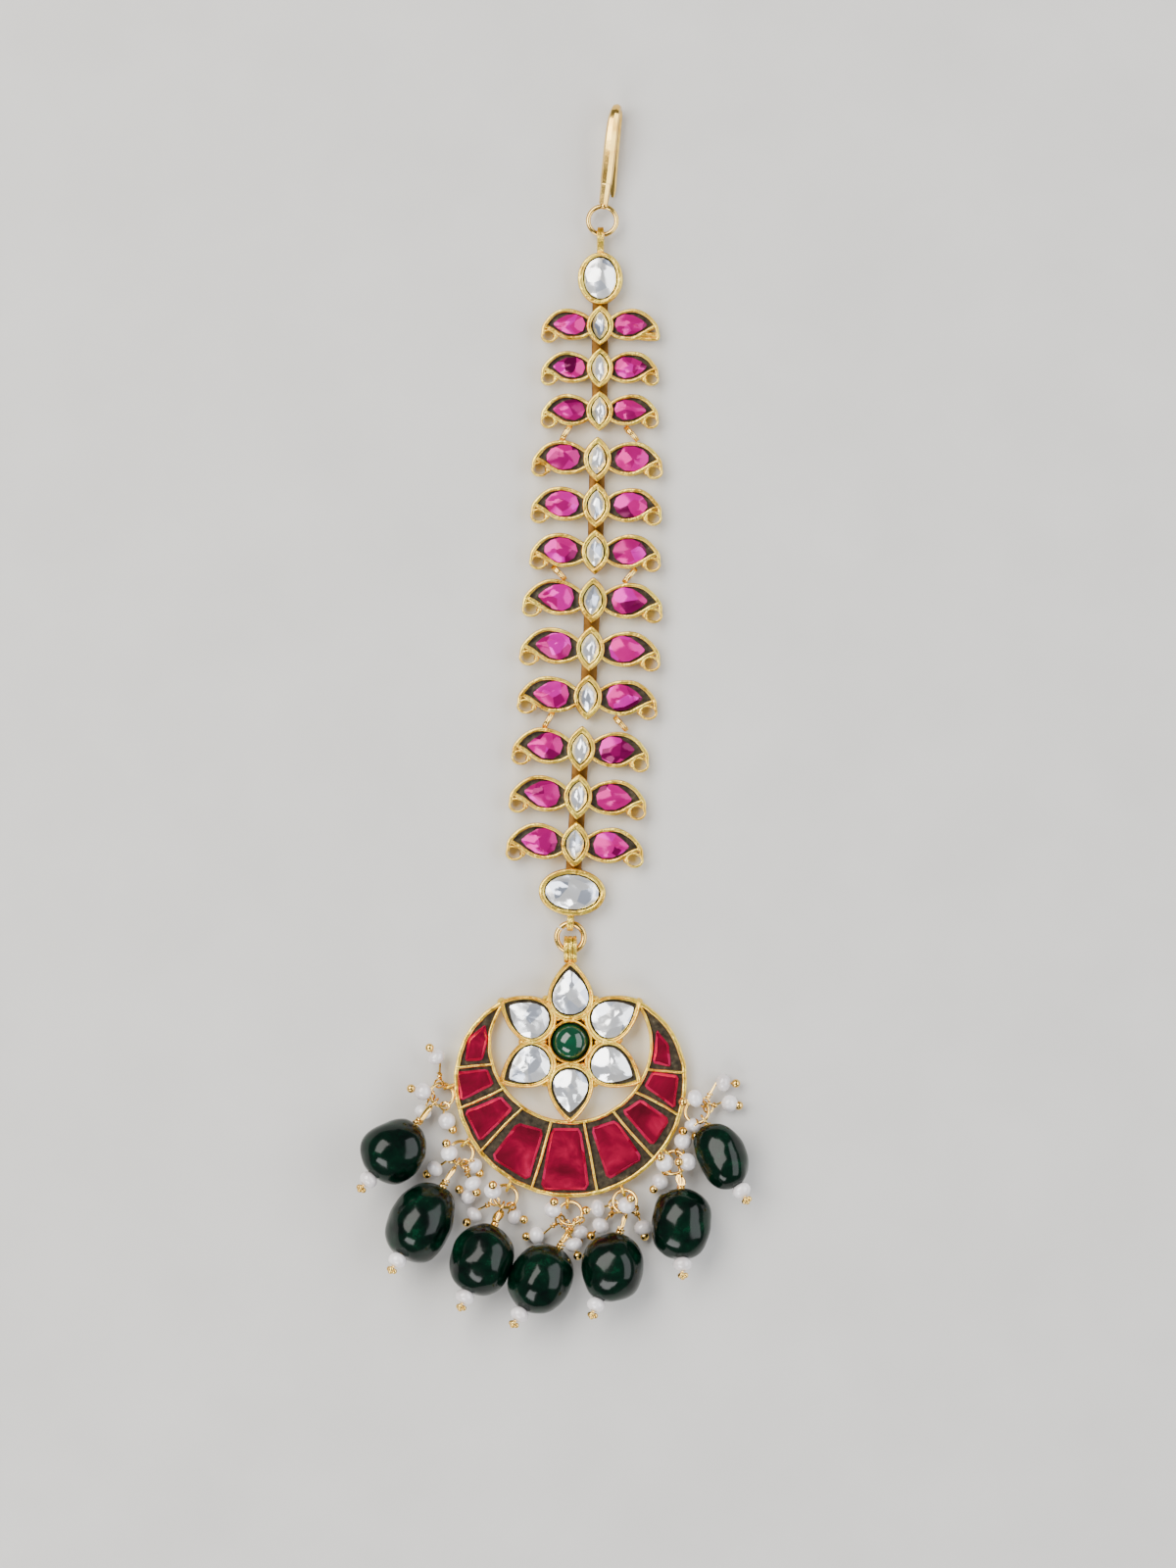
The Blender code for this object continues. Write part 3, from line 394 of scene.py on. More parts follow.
# %% [markdown]
# Outlines on the table are lists of points. Three kinds do most of the work: a gem outline, whose
# ends go from round to pointed, a circle in any plane, and a smooth curve through a few knots. A
# setting's rim is hand made, so `waver` moves an outline in and out by a few hundredths of a
# millimetre, and `uneven` gives the same kind of unevenness to a height.

# %% Outlines
def gem_point(turn, length, width, tip, tail):
    fore, aft = tip + 1, tail + 1
    whole = fore + aft
    fullest = 2 * (fore / whole) ** (fore / 2) * (aft / whole) ** (aft / 2)
    swell = 2 * abs(math.sin(turn / 2)) ** fore * abs(math.cos(turn / 2)) ** aft
    side = 1 if math.sin(turn) >= 0 else -1
    return Vector((length / 2 * math.cos(turn), side * width / 2 * swell / fullest, 0))


def laid(outline, centre, direction):
    across = Vector((-direction.y, direction.x, 0))
    return [centre + direction * point.x + across * point.y for point in outline]


def gem_laid(size, tips, sides, centre, direction):
    return laid([gem_point(math.tau * (i + 0.5) / sides, *size, *tips) for i in range(sides)],
                centre, direction)


def matched(outline, centre, direction, size, tips):
    """A gem outline with its points at the same bearings as another outline's."""
    across = Vector((-direction.y, direction.x, 0))
    turns = [math.atan2((point - centre).dot(across) / size[1], (point - centre).dot(direction) / size[0])
             for point in outline]
    return laid([gem_point(turn, *size, *tips) for turn in turns], centre, direction)


def circle(centre, across, along, radius, count):
    turns = [math.tau * i / count for i in range(count)]
    return [centre + (across * math.cos(t) + along * math.sin(t)) * radius for t in turns]


def curve_through(knots, count, closed=True):
    points = []
    for i in range(count):
        at = i * len(knots) / count if closed else i * (len(knots) - 1) / (count - 1)
        k = min(int(at), len(knots) - 1)
        t = at - k
        if closed:
            a, b, c, d = (knots[(k + step) % len(knots)] for step in (-1, 0, 1, 2))
        else:
            a, b, c, d = (knots[min(max(k + step, 0), len(knots) - 1)] for step in (-1, 0, 1, 2))
        points.append(0.5 * (2 * b + (c - a) * t + (2 * a - 5 * b + 4 * c - d) * t ** 2
                             + (3 * b - a - 3 * c + d) * t ** 3))
    return points


def inset(outline, amount):
    """The outline drawn in by an amount, along the mean of the two edges' normals."""
    count = len(outline)
    area = sum(outline[i].x * outline[(i + 1) % count].y
               - outline[(i + 1) % count].x * outline[i].y for i in range(count))
    drawn = []
    for i, point in enumerate(outline):
        ahead = at_height(outline[(i + 1) % count] - outline[i - 1], 0).normalized()
        drawn.append(point - right_of(ahead) * amount * (1 if area > 0 else -1))
    return drawn


def uneven(point, scale, depth, seed=0):
    return noise.noise(point * scale + Vector((seed, 0, 0))) * depth


def waver(outline, amount, seed, size=0.0016):
    return [point + at_height(noise.noise_vector(point / size + Vector((seed, 0, 0))), 0) * amount
            for point in outline]


def raised(outline, height):
    return [at_height(point, height) for point in outline]


print("outline tools ready")


# %% [markdown]
# Stones are cut last by hand and never quite even. `cut_stone` gives a girdle, several rings of
# facets whose corners are nudged, and a low point in the middle that is a little off. Flat shading
# keeps each facet a mirror of its own, which is what makes the foil sparkle.

# %% Cutting a stone
def cut_stone(shape, outline, back, girdle, top, seed, slot=0, steps=(0.80, 0.50), jitter=0.07):
    random.seed(seed)
    middle = sum(outline, Vector()) / len(outline)
    size = max((point - middle).length for point in outline)
    count = len(outline)

    def ring(share, height, nudge, stagger):
        points = []
        for i, point in enumerate(outline):
            if stagger:
                point = (point + outline[(i + 1) % count]) / 2
            away = (point - middle) * share
            away += Vector((random.uniform(-1, 1), random.uniform(-1, 1), 0)) * size * nudge
            points.append(at_height(middle + away, height + random.uniform(-1, 1) * size * nudge * 0.4))
        return points

    rings = [ring(0.92, back, 0, False), ring(1.0, girdle, 0, False)]
    for number, share in enumerate(steps):
        height = girdle + (top - girdle) * (1 - share ** 2) * (0.95 if number else 0.8)
        rings.append(ring(share, height, jitter, number % 2 == 0))
    points = [point for one in rings for point in one]
    peak = middle + Vector((random.uniform(-1, 1), random.uniform(-1, 1), 0)) * size * 0.1
    points.append(at_height(peak, top))
    faces = [list(range(count))[::-1]]
    for band in range(len(rings) - 1):
        low, high = band * count, (band + 1) * count
        for i in range(count):
            j = (i + 1) % count
            if band == 0:
                faces.append([low + i, low + j, high + j, high + i])
            elif band % 2:
                faces += [[low + i, low + j, high + i], [low + j, high + j, high + i]]
            else:
                faces += [[low + i, low + j, high + j], [low + i, high + j, high + i]]
    last = (len(rings) - 1) * count
    faces += [[last + i, last + (i + 1) % count, len(points) - 1] for i in range(count)]
    shape.add(points, faces, slot, True)


print("stone cutter ready")


# %% [markdown]
# A rim is a strap of gold standing on edge: flat on top with soft shoulders, because it was
# pushed over the lac with a burnisher. `strap` sweeps that shape along a line and can taper, so
# the same tool makes wing rims, curls and the walls between the rubies. `wire` sweeps a circle,
# and `ball` makes grains and pearls.

# %% Straps, wires and balls
def heading(line, i, closed):
    last = len(line) - 1
    before, after = (i - 1, (i + 1) % len(line)) if closed else (max(i - 1, 0), min(i + 1, last))
    return line[after] - line[before]


def at_point(value, i):
    return value[i] if hasattr(value, "__len__") else value


def sweep(shape, rings, closed, slot, shift=0):
    if closed:
        shape.add(*skin(rings, True, shift), slot)
    else:
        loft(shape, rings, slot)


def strap(shape, line, widths, back, top, closed=False, slot=0, soft=0.00011, lift=None):
    rings = []
    for i, point in enumerate(line):
        side = right_of(at_height(heading(line, i, closed), 0).normalized())
        half = at_point(widths, i) / 2
        height = top + (lift[i] if lift else 0)
        edge = min(soft, half * 0.6)
        profile = ((half * 0.96, back), (half, height - edge * 1.6),
                   (half - edge * 0.35, height - edge * 0.45), (half - edge, height))
        profile += tuple((-across, z) for across, z in profile[::-1])
        rings.append([at_height(point + side * across, z) for across, z in profile])
    sweep(shape, rings, closed, slot)


def wire(shape, line, width, sides=10, slot=0, closed=False, across=None):
    """Round wire along a line; width may be one number or one for each point."""
    rings = []
    for i, point in enumerate(line):
        ahead = heading(line, i, closed).normalized()
        across = ahead.orthogonal() if across is None else across
        across = (across - ahead * across.dot(ahead)).normalized()
        rings.append(circle(point, across, ahead.cross(across), at_point(width, i) / 2, sides))
    shift = min(range(sides), key=lambda s: (rings[0][s] - rings[-1][0]).length) if closed else 0
    sweep(shape, rings, closed, slot, shift)


def ball(shape, centre, width, length=None, axis=UP, sides=14, bands=9, slot=0, dents=0.0, seed=0):
    """A round bead; dents push its skin in and out."""
    length = length or width
    axis = axis.normalized()
    across = axis.orthogonal().normalized()
    rings = []
    for band in range(1, bands):
        turn = math.pi * band / bands
        ring = circle(axis * -math.cos(turn) * length / 2, across, axis.cross(across),
                      math.sin(turn) * width / 2, sides)
        for scale, share, shift in ((320, 1.0, (seed, seed * 2, 0)), (900, 0.5, (0, seed, seed))):
            ring = [away * (1 + dents * share * noise.noise(away * scale + Vector(shift))) for away in ring]
        rings.append([centre + away for away in ring])
    points, faces = skin(rings)
    last = len(points) - sides
    points += [centre - axis * length / 2 * 0.98, centre + axis * length / 2 * 0.98]
    for k in range(sides):
        n = (k + 1) % sides
        faces += [(len(points) - 2, n, k), (len(points) - 1, last + k, last + n)]
    shape.add(points, faces, slot)


print("straps, wires and balls ready")


# %% [markdown]
# The strip first. One row for each section keeps what differs: how far its wings reach, how high
# they rise, and the size of its white and pink settings, all in millimetres. The wings' rim is one
# strap that runs out along the arch, curls round a hole and ends in a small knob. A second strap,
# the belly, runs back to the cup. One curl, at the top right, was crushed at some time: it has
# folds and no hole.

# %% Section table
SECTIONS = table("name first reach rise cup stone pink tip seed",
                 ("section_1", 1, 8.0, 2.30, (5.4, 3.7), (3.8, 2.15), (4.40, 2.85), 0.75, 11),
                 ("section_2", 4, 8.9, 2.50, (6.1, 3.8), (4.1, 2.4), (4.60, 3.45), 0.15, 23),
                 ("section_3", 7, 9.55, 2.65, (6.2, 3.9), (4.15, 2.5), (4.90, 3.70), 0.80, 37),
                 ("section_4", 10, 9.35, 2.65, (6.2, 3.9), (4.15, 2.5), (4.90, 3.70), 0.80, 53))
ROWS = 3
CUP_TIP = 0.8
SPINE_TOP = 0.8 * MM
RIM_TOP = 2.5 * MM
WING_TOP = 2.3 * MM
LAC_LEVEL = 1.75 * MM
BACK_LEVEL = 0.45 * MM
RIM_WIDTH = 0.52 * MM
LAC_LINE = 0.13 * MM

# Places in a wing: along in shares of the reach, up in shares of the rise. ARCH and BELLY are the
# middles of the two straps, with their widths in shares of the rim's width.
ARCH = table("along up wide",
             (0.17, 0.36, 0.9), (0.32, 0.70, 0.9), (0.50, 0.87, 1.0), (0.67, 0.82, 1.0),
             (0.81, 0.55, 1.0), (0.905, 0.19, 1.05), (0.958, -0.12, 1.0), (0.974, -0.54, 0.78))
BELLY = table("along up wide",
              (0.17, -0.42, 0.9), (0.30, -0.66, 0.9), (0.46, -0.76, 1.0), (0.60, -0.69, 1.0),
              (0.72, -0.46, 1.0), (0.82, -0.22, 0.95), (0.92, -0.06, 1.0))
STONE_PLACE = (0.525, 0.06)
CURL_PLACE, CURL_SIZE = (0.872, -0.62), (0.114, 0.335)
KNOB_PLACE = (0.755, -0.66)
CRUSHED = ("section_1", 0, 1)
FOLDS = (((0.60, -0.70), (0.80, -0.78), (0.965, -0.80)), ((0.70, -0.56), (0.86, -0.52), (0.99, -0.62)),
         ((0.975, -0.36), (0.99, -0.60), (0.965, -0.80)))
FOLD_BED = ((0.62, -0.68), (0.80, -0.40), (0.98, -0.40), (0.96, -0.78))


def in_mm(*lengths):
    return tuple(length * MM for length in lengths)


print("sections:", [row["name"] for row in SECTIONS])


# %% [markdown]
# A stone sits in its setting with dark lac packed round it. The lac is a skin from the rim's
# inside to the stone's edge, uneven and dished, with its own thickness below.

# %% Lac beds
def lac_bed(shape, border, hole, level, seed, back, rows=5):
    """A dished skin between the border and a stone's outline with as many points."""
    rings = [raised(border, back)]
    for row in range(rows):
        share = row / (rows - 1)
        middle = level - math.sin(share * math.pi) * 0.16 * MM
        spots = [a.lerp(b, share) for a, b in zip(border, hole)]
        rings.append([at_height(spot, middle + uneven(spot, 1400, 0.07 * MM, seed)) for spot in spots])
    loft(shape, rings, 1)


print("lac beds ready")


# %% [markdown]
# The marquise cups are cut from sheet, bent to a boat shape and closed with solder at the points.
# Their rim is a closed strap, the floor is lac, and the stone stands a little above the rim.

# %% Cups with white stones
def collar(shape, outer, inner, back, top, seed, groove=0.0):
    """A closed rim between two outlines with as many points; its top has soft edges and a groove."""
    stations = ((0.0, None), (0.0, 0.20), (0.10, 0.06), (0.24, 0.0), (0.42, 0.2 * groove),
                (0.54, groove), (0.66, 0.2 * groove), (0.78, 0.0), (0.90, 0.06), (1.0, 0.20), (1.0, None))
    rings = []
    for share, below in stations:
        spots = [a.lerp(b, share) for a, b in zip(outer, inner)]
        if below is None:
            rings.append(raised(spots, back))
        else:
            rings.append([at_height(spot, top - (0.06 + below) * MM + uneven(spot, 800, 0.06 * MM, seed))
                          for spot in spots])
    shape.add(*skin(rings, closed=True))


def bezel(shape, centre, line, size, opening, tips, top, back, seed, sides=44, groove=0.0):
    """A cup's rim; its opening is a gem outline of its own, so that the rim swells at the tips."""
    outer = waver(gem_laid(size, tips, sides, centre, line), 0.05 * MM, seed)
    inner = waver(matched(outer, centre, line, opening, tips), 0.04 * MM, seed + 5)
    collar(shape, outer, inner, back, top, seed, groove)
    return [b.lerp(a, 0.12) for a, b in zip(outer, inner)]


def grown(size, share):
    return tuple(length * share for length in size)


def white_setting(metal, node, name, line, cup, stone, tips, seed, cut=12):
    """A cup with lac in the metal shape, and its stone as a piece of its own."""
    centre, white = middle_of(node), Shape()
    opening = (stone[0] + 2 * LAC_LINE, stone[1] + 2 * LAC_LINE)
    border = bezel(metal, centre, line, cup, opening, tips, RIM_TOP, BACK_LEVEL, seed)
    hole = matched(border, centre, line, grown(stone, 0.85), tips)
    lac_bed(metal, border, hole, LAC_LEVEL, seed, BACK_LEVEL + 0.1 * MM)
    random.seed(seed)
    lean = (line + right_of(line) * random.uniform(-0.05, 0.05)).normalized()
    cut_stone(white, gem_laid(stone, tips, cut, centre, lean), LAC_LEVEL - 0.5 * MM,
              LAC_LEVEL + 0.35 * MM, RIM_TOP + 0.42 * MM, seed)
    finish_piece(name, white, [WHITE_STONE], [node])


print("cup tools ready")


# %% [markdown]
# A wing is built from its two straps. The lac bed fills the leaf between them and leaves the curl
# open, so that one looks through the hole as on the real piece. Each pink stone is cut on its own
# seed: the real ones differ in their facets and in how they sit.

# %% Wings with pink stones
def wing(metal, stones, section, centre, line, side, seed, crushed=False):
    out = right_of(line) * side
    rim = RIM_WIDTH * (1.0 if section["first"] == 1 else 1.05)

    def at(along, up, height=0.0):
        return (centre + out * along * section["reach"] * MM + line * up * section["rise"] * MM
                + UP * height)

    def rim_strap(rows, count, top, lifted=False):
        path = curve_through([at(row["along"], row["up"]) for row in rows], count, False)
        path = waver(path, 0.06 * MM, seed)
        widths = [rim * wide for wide in curve_through([row["wide"] for row in rows], count, False)]
        lift = [uneven(point, 600, 0.08 * MM, seed) for point in path] if lifted else None
        strap(metal, path, widths, BACK_LEVEL, top, lift=lift)
        return path

    arch = rim_strap(ARCH, 44, WING_TOP - 0.06 * MM, True)
    belly = rim_strap(BELLY, 22, WING_TOP - 0.10 * MM)
    if crushed:
        for number, fold in enumerate(FOLDS):
            ridge = curve_through([at(*place) for place in fold], 12, False)
            strap(metal, waver(ridge, 0.10 * MM, seed + number), rim * 0.85, BACK_LEVEL,
                  WING_TOP - (0.35 - 0.12 * number) * MM)
        bed = [at(*place) for place in FOLD_BED]
        loft(metal, [raised(bed, BACK_LEVEL), raised(bed, WING_TOP - 0.62 * MM)])
    else:
        ball(metal, at(*KNOB_PLACE, WING_TOP - 0.44 * MM), rim * 1.5, 0.8 * MM, UP, 12, 7)
        eyelet = circle(at(*CURL_PLACE), out * CURL_SIZE[0] * section["reach"] * MM,
                        line * CURL_SIZE[1] * section["rise"] * MM, 1, 30)
        strap(metal, waver(eyelet, 0.05 * MM, seed), rim * 0.66, BACK_LEVEL, WING_TOP - 0.10 * MM, True)
    meet = min(range(len(arch)), key=lambda i: (arch[i] - belly[-1]).length)
    leaf = arch[:meet + 1] + belly[::-1]
    middle, size, tips = at(*STONE_PLACE), in_mm(*section["pink"]), (section["tip"], 0.0)
    random.seed(seed)
    way = (out + line * random.uniform(-0.07, 0.07) * side).normalized()
    hole = matched(leaf, middle, way, grown(size, 0.92), tips)
    lac_bed(metal, leaf, hole, LAC_LEVEL + 0.05 * MM, seed, BACK_LEVEL + 0.05 * MM)
    outline = waver(gem_laid(size, tips, 11, middle, way), 0.07 * MM, seed)
    cut_stone(stones, outline, LAC_LEVEL - 0.4 * MM, LAC_LEVEL + 0.30 * MM, WING_TOP + 0.42 * MM, seed,
              slot=1, steps=(0.72, 0.42), jitter=0.10)


print("wing tools ready")


# %% [markdown]
# Now the four sections are put together. The rows sit where the white stones of the solid model
# sit, and a line through the first and last of them gives the section's lean. A flat strip behind
# carries the cups; it takes the darker gold with painted shade, because the bar between them lies in shade.

# %% The strip's sections
def spine(shape, low, high, line, seed, width=2.15 * MM, steps=24):
    """The strip behind, its long edges a little uneven."""
    shoulder = SPINE_TOP - 0.12 * MM
    profile = ((-1, 0.02 * MM), (1, 0.02 * MM), (1, shoulder), (0.85, SPINE_TOP), (-0.85, SPINE_TOP),
               (-1, shoulder))
    rings = []
    for i in range(steps + 1):
        spot = low.lerp(high, i / steps)
        side = right_of(line) * width / 2 * (1 + uneven(spot, 400, 0.06, seed))
        rings.append([at_height(spot + side * share, height) for share, height in profile])
    # Slot 2 is the darker gold with painted shade.
    loft(shape, rings, 2)


for section in SECTIONS:
    name, metal, stones = section["name"], Shape(), Shape()
    numbers = [f"{section['first'] + row:02d}" for row in range(ROWS)]
    places = [middle_of(f"marquise_stone_{number}") for number in numbers]
    line = (places[0] - places[-1]).normalized()
    for row, (number, centre) in enumerate(zip(numbers, places)):
        seed = section["seed"] + row * 3
        white_setting(metal, f"marquise_stone_{number}", f"white_marquise_{number}", line,
                      in_mm(*section["cup"]), in_mm(*section["stone"]), (CUP_TIP, CUP_TIP), seed)
        for side in (-1, 1):
            wing(metal, stones, section, centre, line, side, seed + side, (name, row, side) == CRUSHED)
    low, high = places[-1] - line * 1.5 * MM, places[0] + line * 1.5 * MM
    if name == "section_1":
        high = middle_of("oval_stone_top")
    if name == "section_4":
        low = middle_of("oval_stone_bottom")
    spine(metal, low, high, line, section["seed"])
    section.update(line=line, metal=metal, stones=stones)
    print(name, "lean", round(math.degrees(math.atan2(line.x, line.y)), 2),
          "points", len(metal.points) + len(stones.points))

# %% [markdown]
# The two oval settings end the strip. The upper one stands upright and carries the hook's loop;
# the lower one lies across and carries the ring of the pendant. Each loop is a flat strap bent
# round and soldered under the cup.

# %% Oval settings and their loops
OVALS = table("section node way length width stone seed",
              (0, "oval_stone_top", 1, 7.0, 6.1, (5.6, 4.4), 71),
              (3, "oval_stone_bottom", -1, 6.4, 9.1, (4.7, 7.35), 83))


def upright_loop(shape, start, way, reach, half_height, middle_height, width, thick):
    """A strap loop standing on edge, from a start on the table out along a direction."""
    middle = start + way * reach / 2 + UP * middle_height
    rings = []
    for across, outward in ((-1, 0), (-0.8, 1), (0.8, 1), (1, 0), (0.8, -1), (-0.8, -1)):
        swell = outward * thick / 2
        rings.append(circle(middle + right_of(way) * across * width / 2, way * (reach / 2 + swell),
                            UP * (half_height + swell), 1, 30))
    shape.add(*skin(rings, closed=True))


for oval in OVALS:
    section, node = SECTIONS[oval["section"]], oval["node"]
    white_setting(section["metal"], node, node.replace("oval_stone", "white_oval"), section["line"],
                  in_mm(oval["length"], oval["width"]), in_mm(*oval["stone"]), (0, 0), oval["seed"], 16)
    low, high = corners_of(section["name"])
    way = section["line"] * oval["way"]
    edge = middle_of(node) + way * (oval["length"] / 2 - 0.3) * MM
    reach = (high.y - edge.y if oval["way"] > 0 else edge.y - low.y) - 0.62 * MM
    upright_loop(section["metal"], edge + way * 0.25 * MM, way, reach, 0.85 * MM, 1.55 * MM, 0.95 * MM,
                 0.5 * MM)
    print(node, "loop reach", round(reach / MM, 2), "mm")

for section in SECTIONS:
    name = section["name"]
    finish_piece(f"dressed_{name}", section["metal"], [ANTIQUE_GOLD, LAC, SHADED_GOLD],
                 [name])
    finish_piece(f"pink_stones_{name}", section["stones"], [PINK_STONE, PINK_STONE])

# %% [markdown]
# Two wire links at each joint let the strip bend over the hair. Each is wound twice, so two
# strands show side by side.

# %% Links
for joint in (1, 2, 3):
    for word in ("left", "right"):
        node = f"link_{joint}_{word}"
        low, high = corners_of(node)
        centre, size = (low + high) / 2, high - low
        lean = 1 if (word == "left") == (joint != 2) else -1
        along = Vector((size.x * lean, size.y, 0)).normalized()
        radius = size.z / 2 - 0.21 * MM
        reach = size.xy.length / 2 - 0.05 * MM
        coil = []
        for i in range(46):
            turn = math.tau * 1.8 * i / 45 - 1.2
            shift = (i / 45 - 0.5) * 0.46 * MM
            coil.append(centre + along * math.cos(turn) * reach + UP * math.sin(turn) * radius
                        + right_of(along) * shift)
        shape = Shape()
        wire(shape, coil, 0.46 * MM, 10)
        finish_piece(f"wound_{node}", shape, [POLISHED_GOLD], [node])
print("links: 6")

# %% [markdown]
# The hook is cast and polished. It rises from a ring that was bent closed, bends over at the top
# and comes back beneath, and its arm ends in a blunt point. Its shank was filed to flat facets, so
# its section has eight sides with one edge on top. Its line follows the solid hook: along in shares
# of its length, side and thick in shares of its thickness, high in shares of its rise.

# %% Hook
HOOK_LINE = table("along side high thick",
                  (0.02, -0.06, 0.37, 0.78), (0.20, -0.02, 0.52, 0.88), (0.26, 0.00, 0.56, 1.00),
                  (0.55, 0.02, 0.82, 1.08), (0.80, 0.04, 1.00, 1.02), (0.93, 0.10, 0.95, 0.92),
                  (1.00, 0.20, 0.66, 0.82), (0.99, 0.32, 0.30, 0.76), (0.91, 0.40, 0.05, 0.72),
                  (0.75, 0.42, 0.00, 0.70), (0.40, 0.50, 0.00, 0.64), (0.10, 0.64, 0.00, 0.56))
HOOK_LEAN = 6.0
HOOK_THICK = 1.62 * MM
HOOK_LENGTH = 13.2 * MM
HOOK_RISE = 3.25 * MM
EYE_MEAN = 1.92 * MM
EYE_WIDE = 0.66 * MM
hook_low, hook_high = corners_of("hair_hook")
hook_way = bearing(90 - HOOK_LEAN)
hook_side = right_of(hook_way)
eye_reach = EYE_MEAN + EYE_WIDE / 2
eye_centre = Vector((hook_low.x + eye_reach, hook_low.y + eye_reach, 0))
foot = eye_centre + hook_way * (EYE_MEAN + 0.1 * MM)
arm_height = HOOK_THICK * 0.36
knots = [foot + hook_way * HOOK_LENGTH * row["along"] + hook_side * HOOK_THICK * row["side"]
         + UP * (arm_height + HOOK_RISE * row["high"]) for row in HOOK_LINE]
thick = [HOOK_THICK * share for share in curve_through([row["thick"] for row in HOOK_LINE], 70, False)]
thick[-3:] = [thick[-3] * 0.92, thick[-2] * 0.7, thick[-1] * 0.35]
shape = Shape()
wire(shape, curve_through(knots, 70, False), thick, 8, across=hook_side)
ring = [eye_centre + bearing(258 - 340 * i / 43, EYE_MEAN)
        + UP * (1.65 + 0.12 * (i / 43 - 0.5)) * MM for i in range(44)]
wire(shape, ring, EYE_WIDE, 12)
ball(shape, foot + UP * (arm_height + HOOK_RISE * 0.33), 1.28 * MM, 1.0 * MM, hook_way, 16, 9)
finish_piece("dressed_hook", shape, [POLISHED_GOLD], ["hair_hook"])
print("hook is", round((hook_high.y - hook_low.y) / MM, 1), "mm long")

# %% [markdown]
# The plain round ring that joins strip and pendant is open at one place, where it was closed with
# pliers; the gap shows at its upper left.

# %% Pendant ring
ring_low, ring_high = corners_of("pendant_ring")
ring_mean = (ring_high.x - ring_low.x) / 2 - 0.4 * MM
shape = Shape()
line = [(ring_low + ring_high) / 2 + bearing(142 + 352 * i / 55, ring_mean) + UP * 0.05 * MM * (i / 55 - 0.5)
        for i in range(56)]
wire(shape, line, 0.79 * MM, 14)
finish_piece("open_ring", shape, [POLISHED_GOLD], ["pendant_ring"])
print("ring mean radius", round(ring_mean / MM, 2), "mm")

# %% [markdown]
# The pendant is one soldered frame. In the middle six pear settings stand round a round one. Each
# is a bezel on its own little box, and they touch only at solder points, which leaves small dark
# gaps between them. The table says how each pear stone sits in its cup: shifted out along the
# petal and aside in millimetres, turned in degrees, and a little larger or smaller.

# %% Flower
PEARS = table("out aside turn grow",
              (0.05, 0.00, 2, 1.00), (0.08, 0.10, -3, 1.01), (0.00, 0.08, 4, 0.98),
              (0.00, 0.00, -2, 0.97), (0.00, -0.08, 3, 1.00), (-0.05, -0.10, -4, 0.98))
PETAL_REACH = 11.1 * MM
PETAL_SIZE = (8.4 * MM, 6.3 * MM)
PETAL_OPENING = (6.75 * MM, 5.16 * MM)
PETAL_TOP = 2.6 * MM
PETAL_TIPS = (0.75, 0)
PEAR_SIZE = (6.0 * MM, 4.9 * MM)
PEAR_SHIFT = -0.22
GROOVE = 0.16

frame_shape = Shape()
for petal, sits in enumerate(PEARS):
    angle = 90 - 60 * petal
    away = bearing(angle)
    centre = FLOWER + away * (PETAL_REACH - PETAL_SIZE[0] / 2)
    border = bezel(frame_shape, centre, away, PETAL_SIZE, PETAL_OPENING, PETAL_TIPS,
                   PETAL_TOP, 0.25 * MM, 101 + petal, 60, GROOVE)
    middle = centre + away * (sits["out"] + PEAR_SHIFT) * MM + right_of(away) * sits["aside"] * MM
    way, size = bearing(angle + sits["turn"]), grown(PEAR_SIZE, sits["grow"])
    hole = matched(border, middle, way, grown(size, 0.9), PETAL_TIPS)
    lac_bed(frame_shape, border, hole, 1.95 * MM, 101 + petal, 0.3 * MM)
    stone = Shape()
    cut_stone(stone, gem_laid(size, PETAL_TIPS, 18, middle, way), 1.4 * MM, 2.3 * MM,
              PETAL_TOP + 0.46 * MM, 211 + petal, steps=(0.78, 0.55, 0.30), jitter=0.06)
    finish_piece(f"white_pear_{petal + 1}", stone, [WHITE_STONE],
                 [f"pear_stone_{petal + 1}"])

border = bezel(frame_shape, FLOWER, bearing(0), in_mm(5.95, 5.95), in_mm(5.25, 5.25), (0, 0), 2.85 * MM,
               0.15 * MM, 131, 48, GROOVE)
hole = matched(border, FLOWER, bearing(0), in_mm(4.6, 4.6), (0, 0))
lac_bed(frame_shape, border, hole, 2.0 * MM, 131, 0.2 * MM)

low, high = corners_of("centre_cabochon")
dome, dome_foot = Shape(), 1.75 * MM
dome_radius, dome_rise = (high.x - low.x) / 2 - 0.02 * MM, high.z - 0.03 * MM - dome_foot
turns = [math.radians(step * 7.2) for step in range(13)]
loft(dome, [circle(at_height(FLOWER, dome_foot + dome_rise * math.sin(turn)), bearing(0), bearing(90),
                   dome_radius * math.cos(turn), 48) for turn in turns])
finish_piece("green_dome", dome, [CABOCHON], ["centre_cabochon"])
print("petals:", len(PEARS), "points in the frame so far:", len(frame_shape.points))

# %% [markdown]
# Round the flower runs the crescent: a floor plate, an outer and an inner wall, and eight walls
# across it that part nine cells. The walls stand above the lac as thin bright lines. Its outer
# edge follows a circle set a little below the flower and pinches in at the two horns.

# %% Crescent
CRESCENT_ROOM = 4.7 * MM
CRESCENT_DROP = 5.4 * MM
HORN_ANGLE, HORN_START = 29.0, -15.0
OUTER_PINCH, INNER_PINCH = 0.115, 0.05
CRESCENT_TOP = 2.0 * MM
WALL_BACK = 0.03 * MM
LAC_TOP = 1.45 * MM
PLATE_ROWS = 11


def horn_share(angle):
    height = math.degrees(math.asin(math.sin(math.radians(angle))))
    return max(0.0, (height - HORN_START) / (HORN_ANGLE - HORN_START))


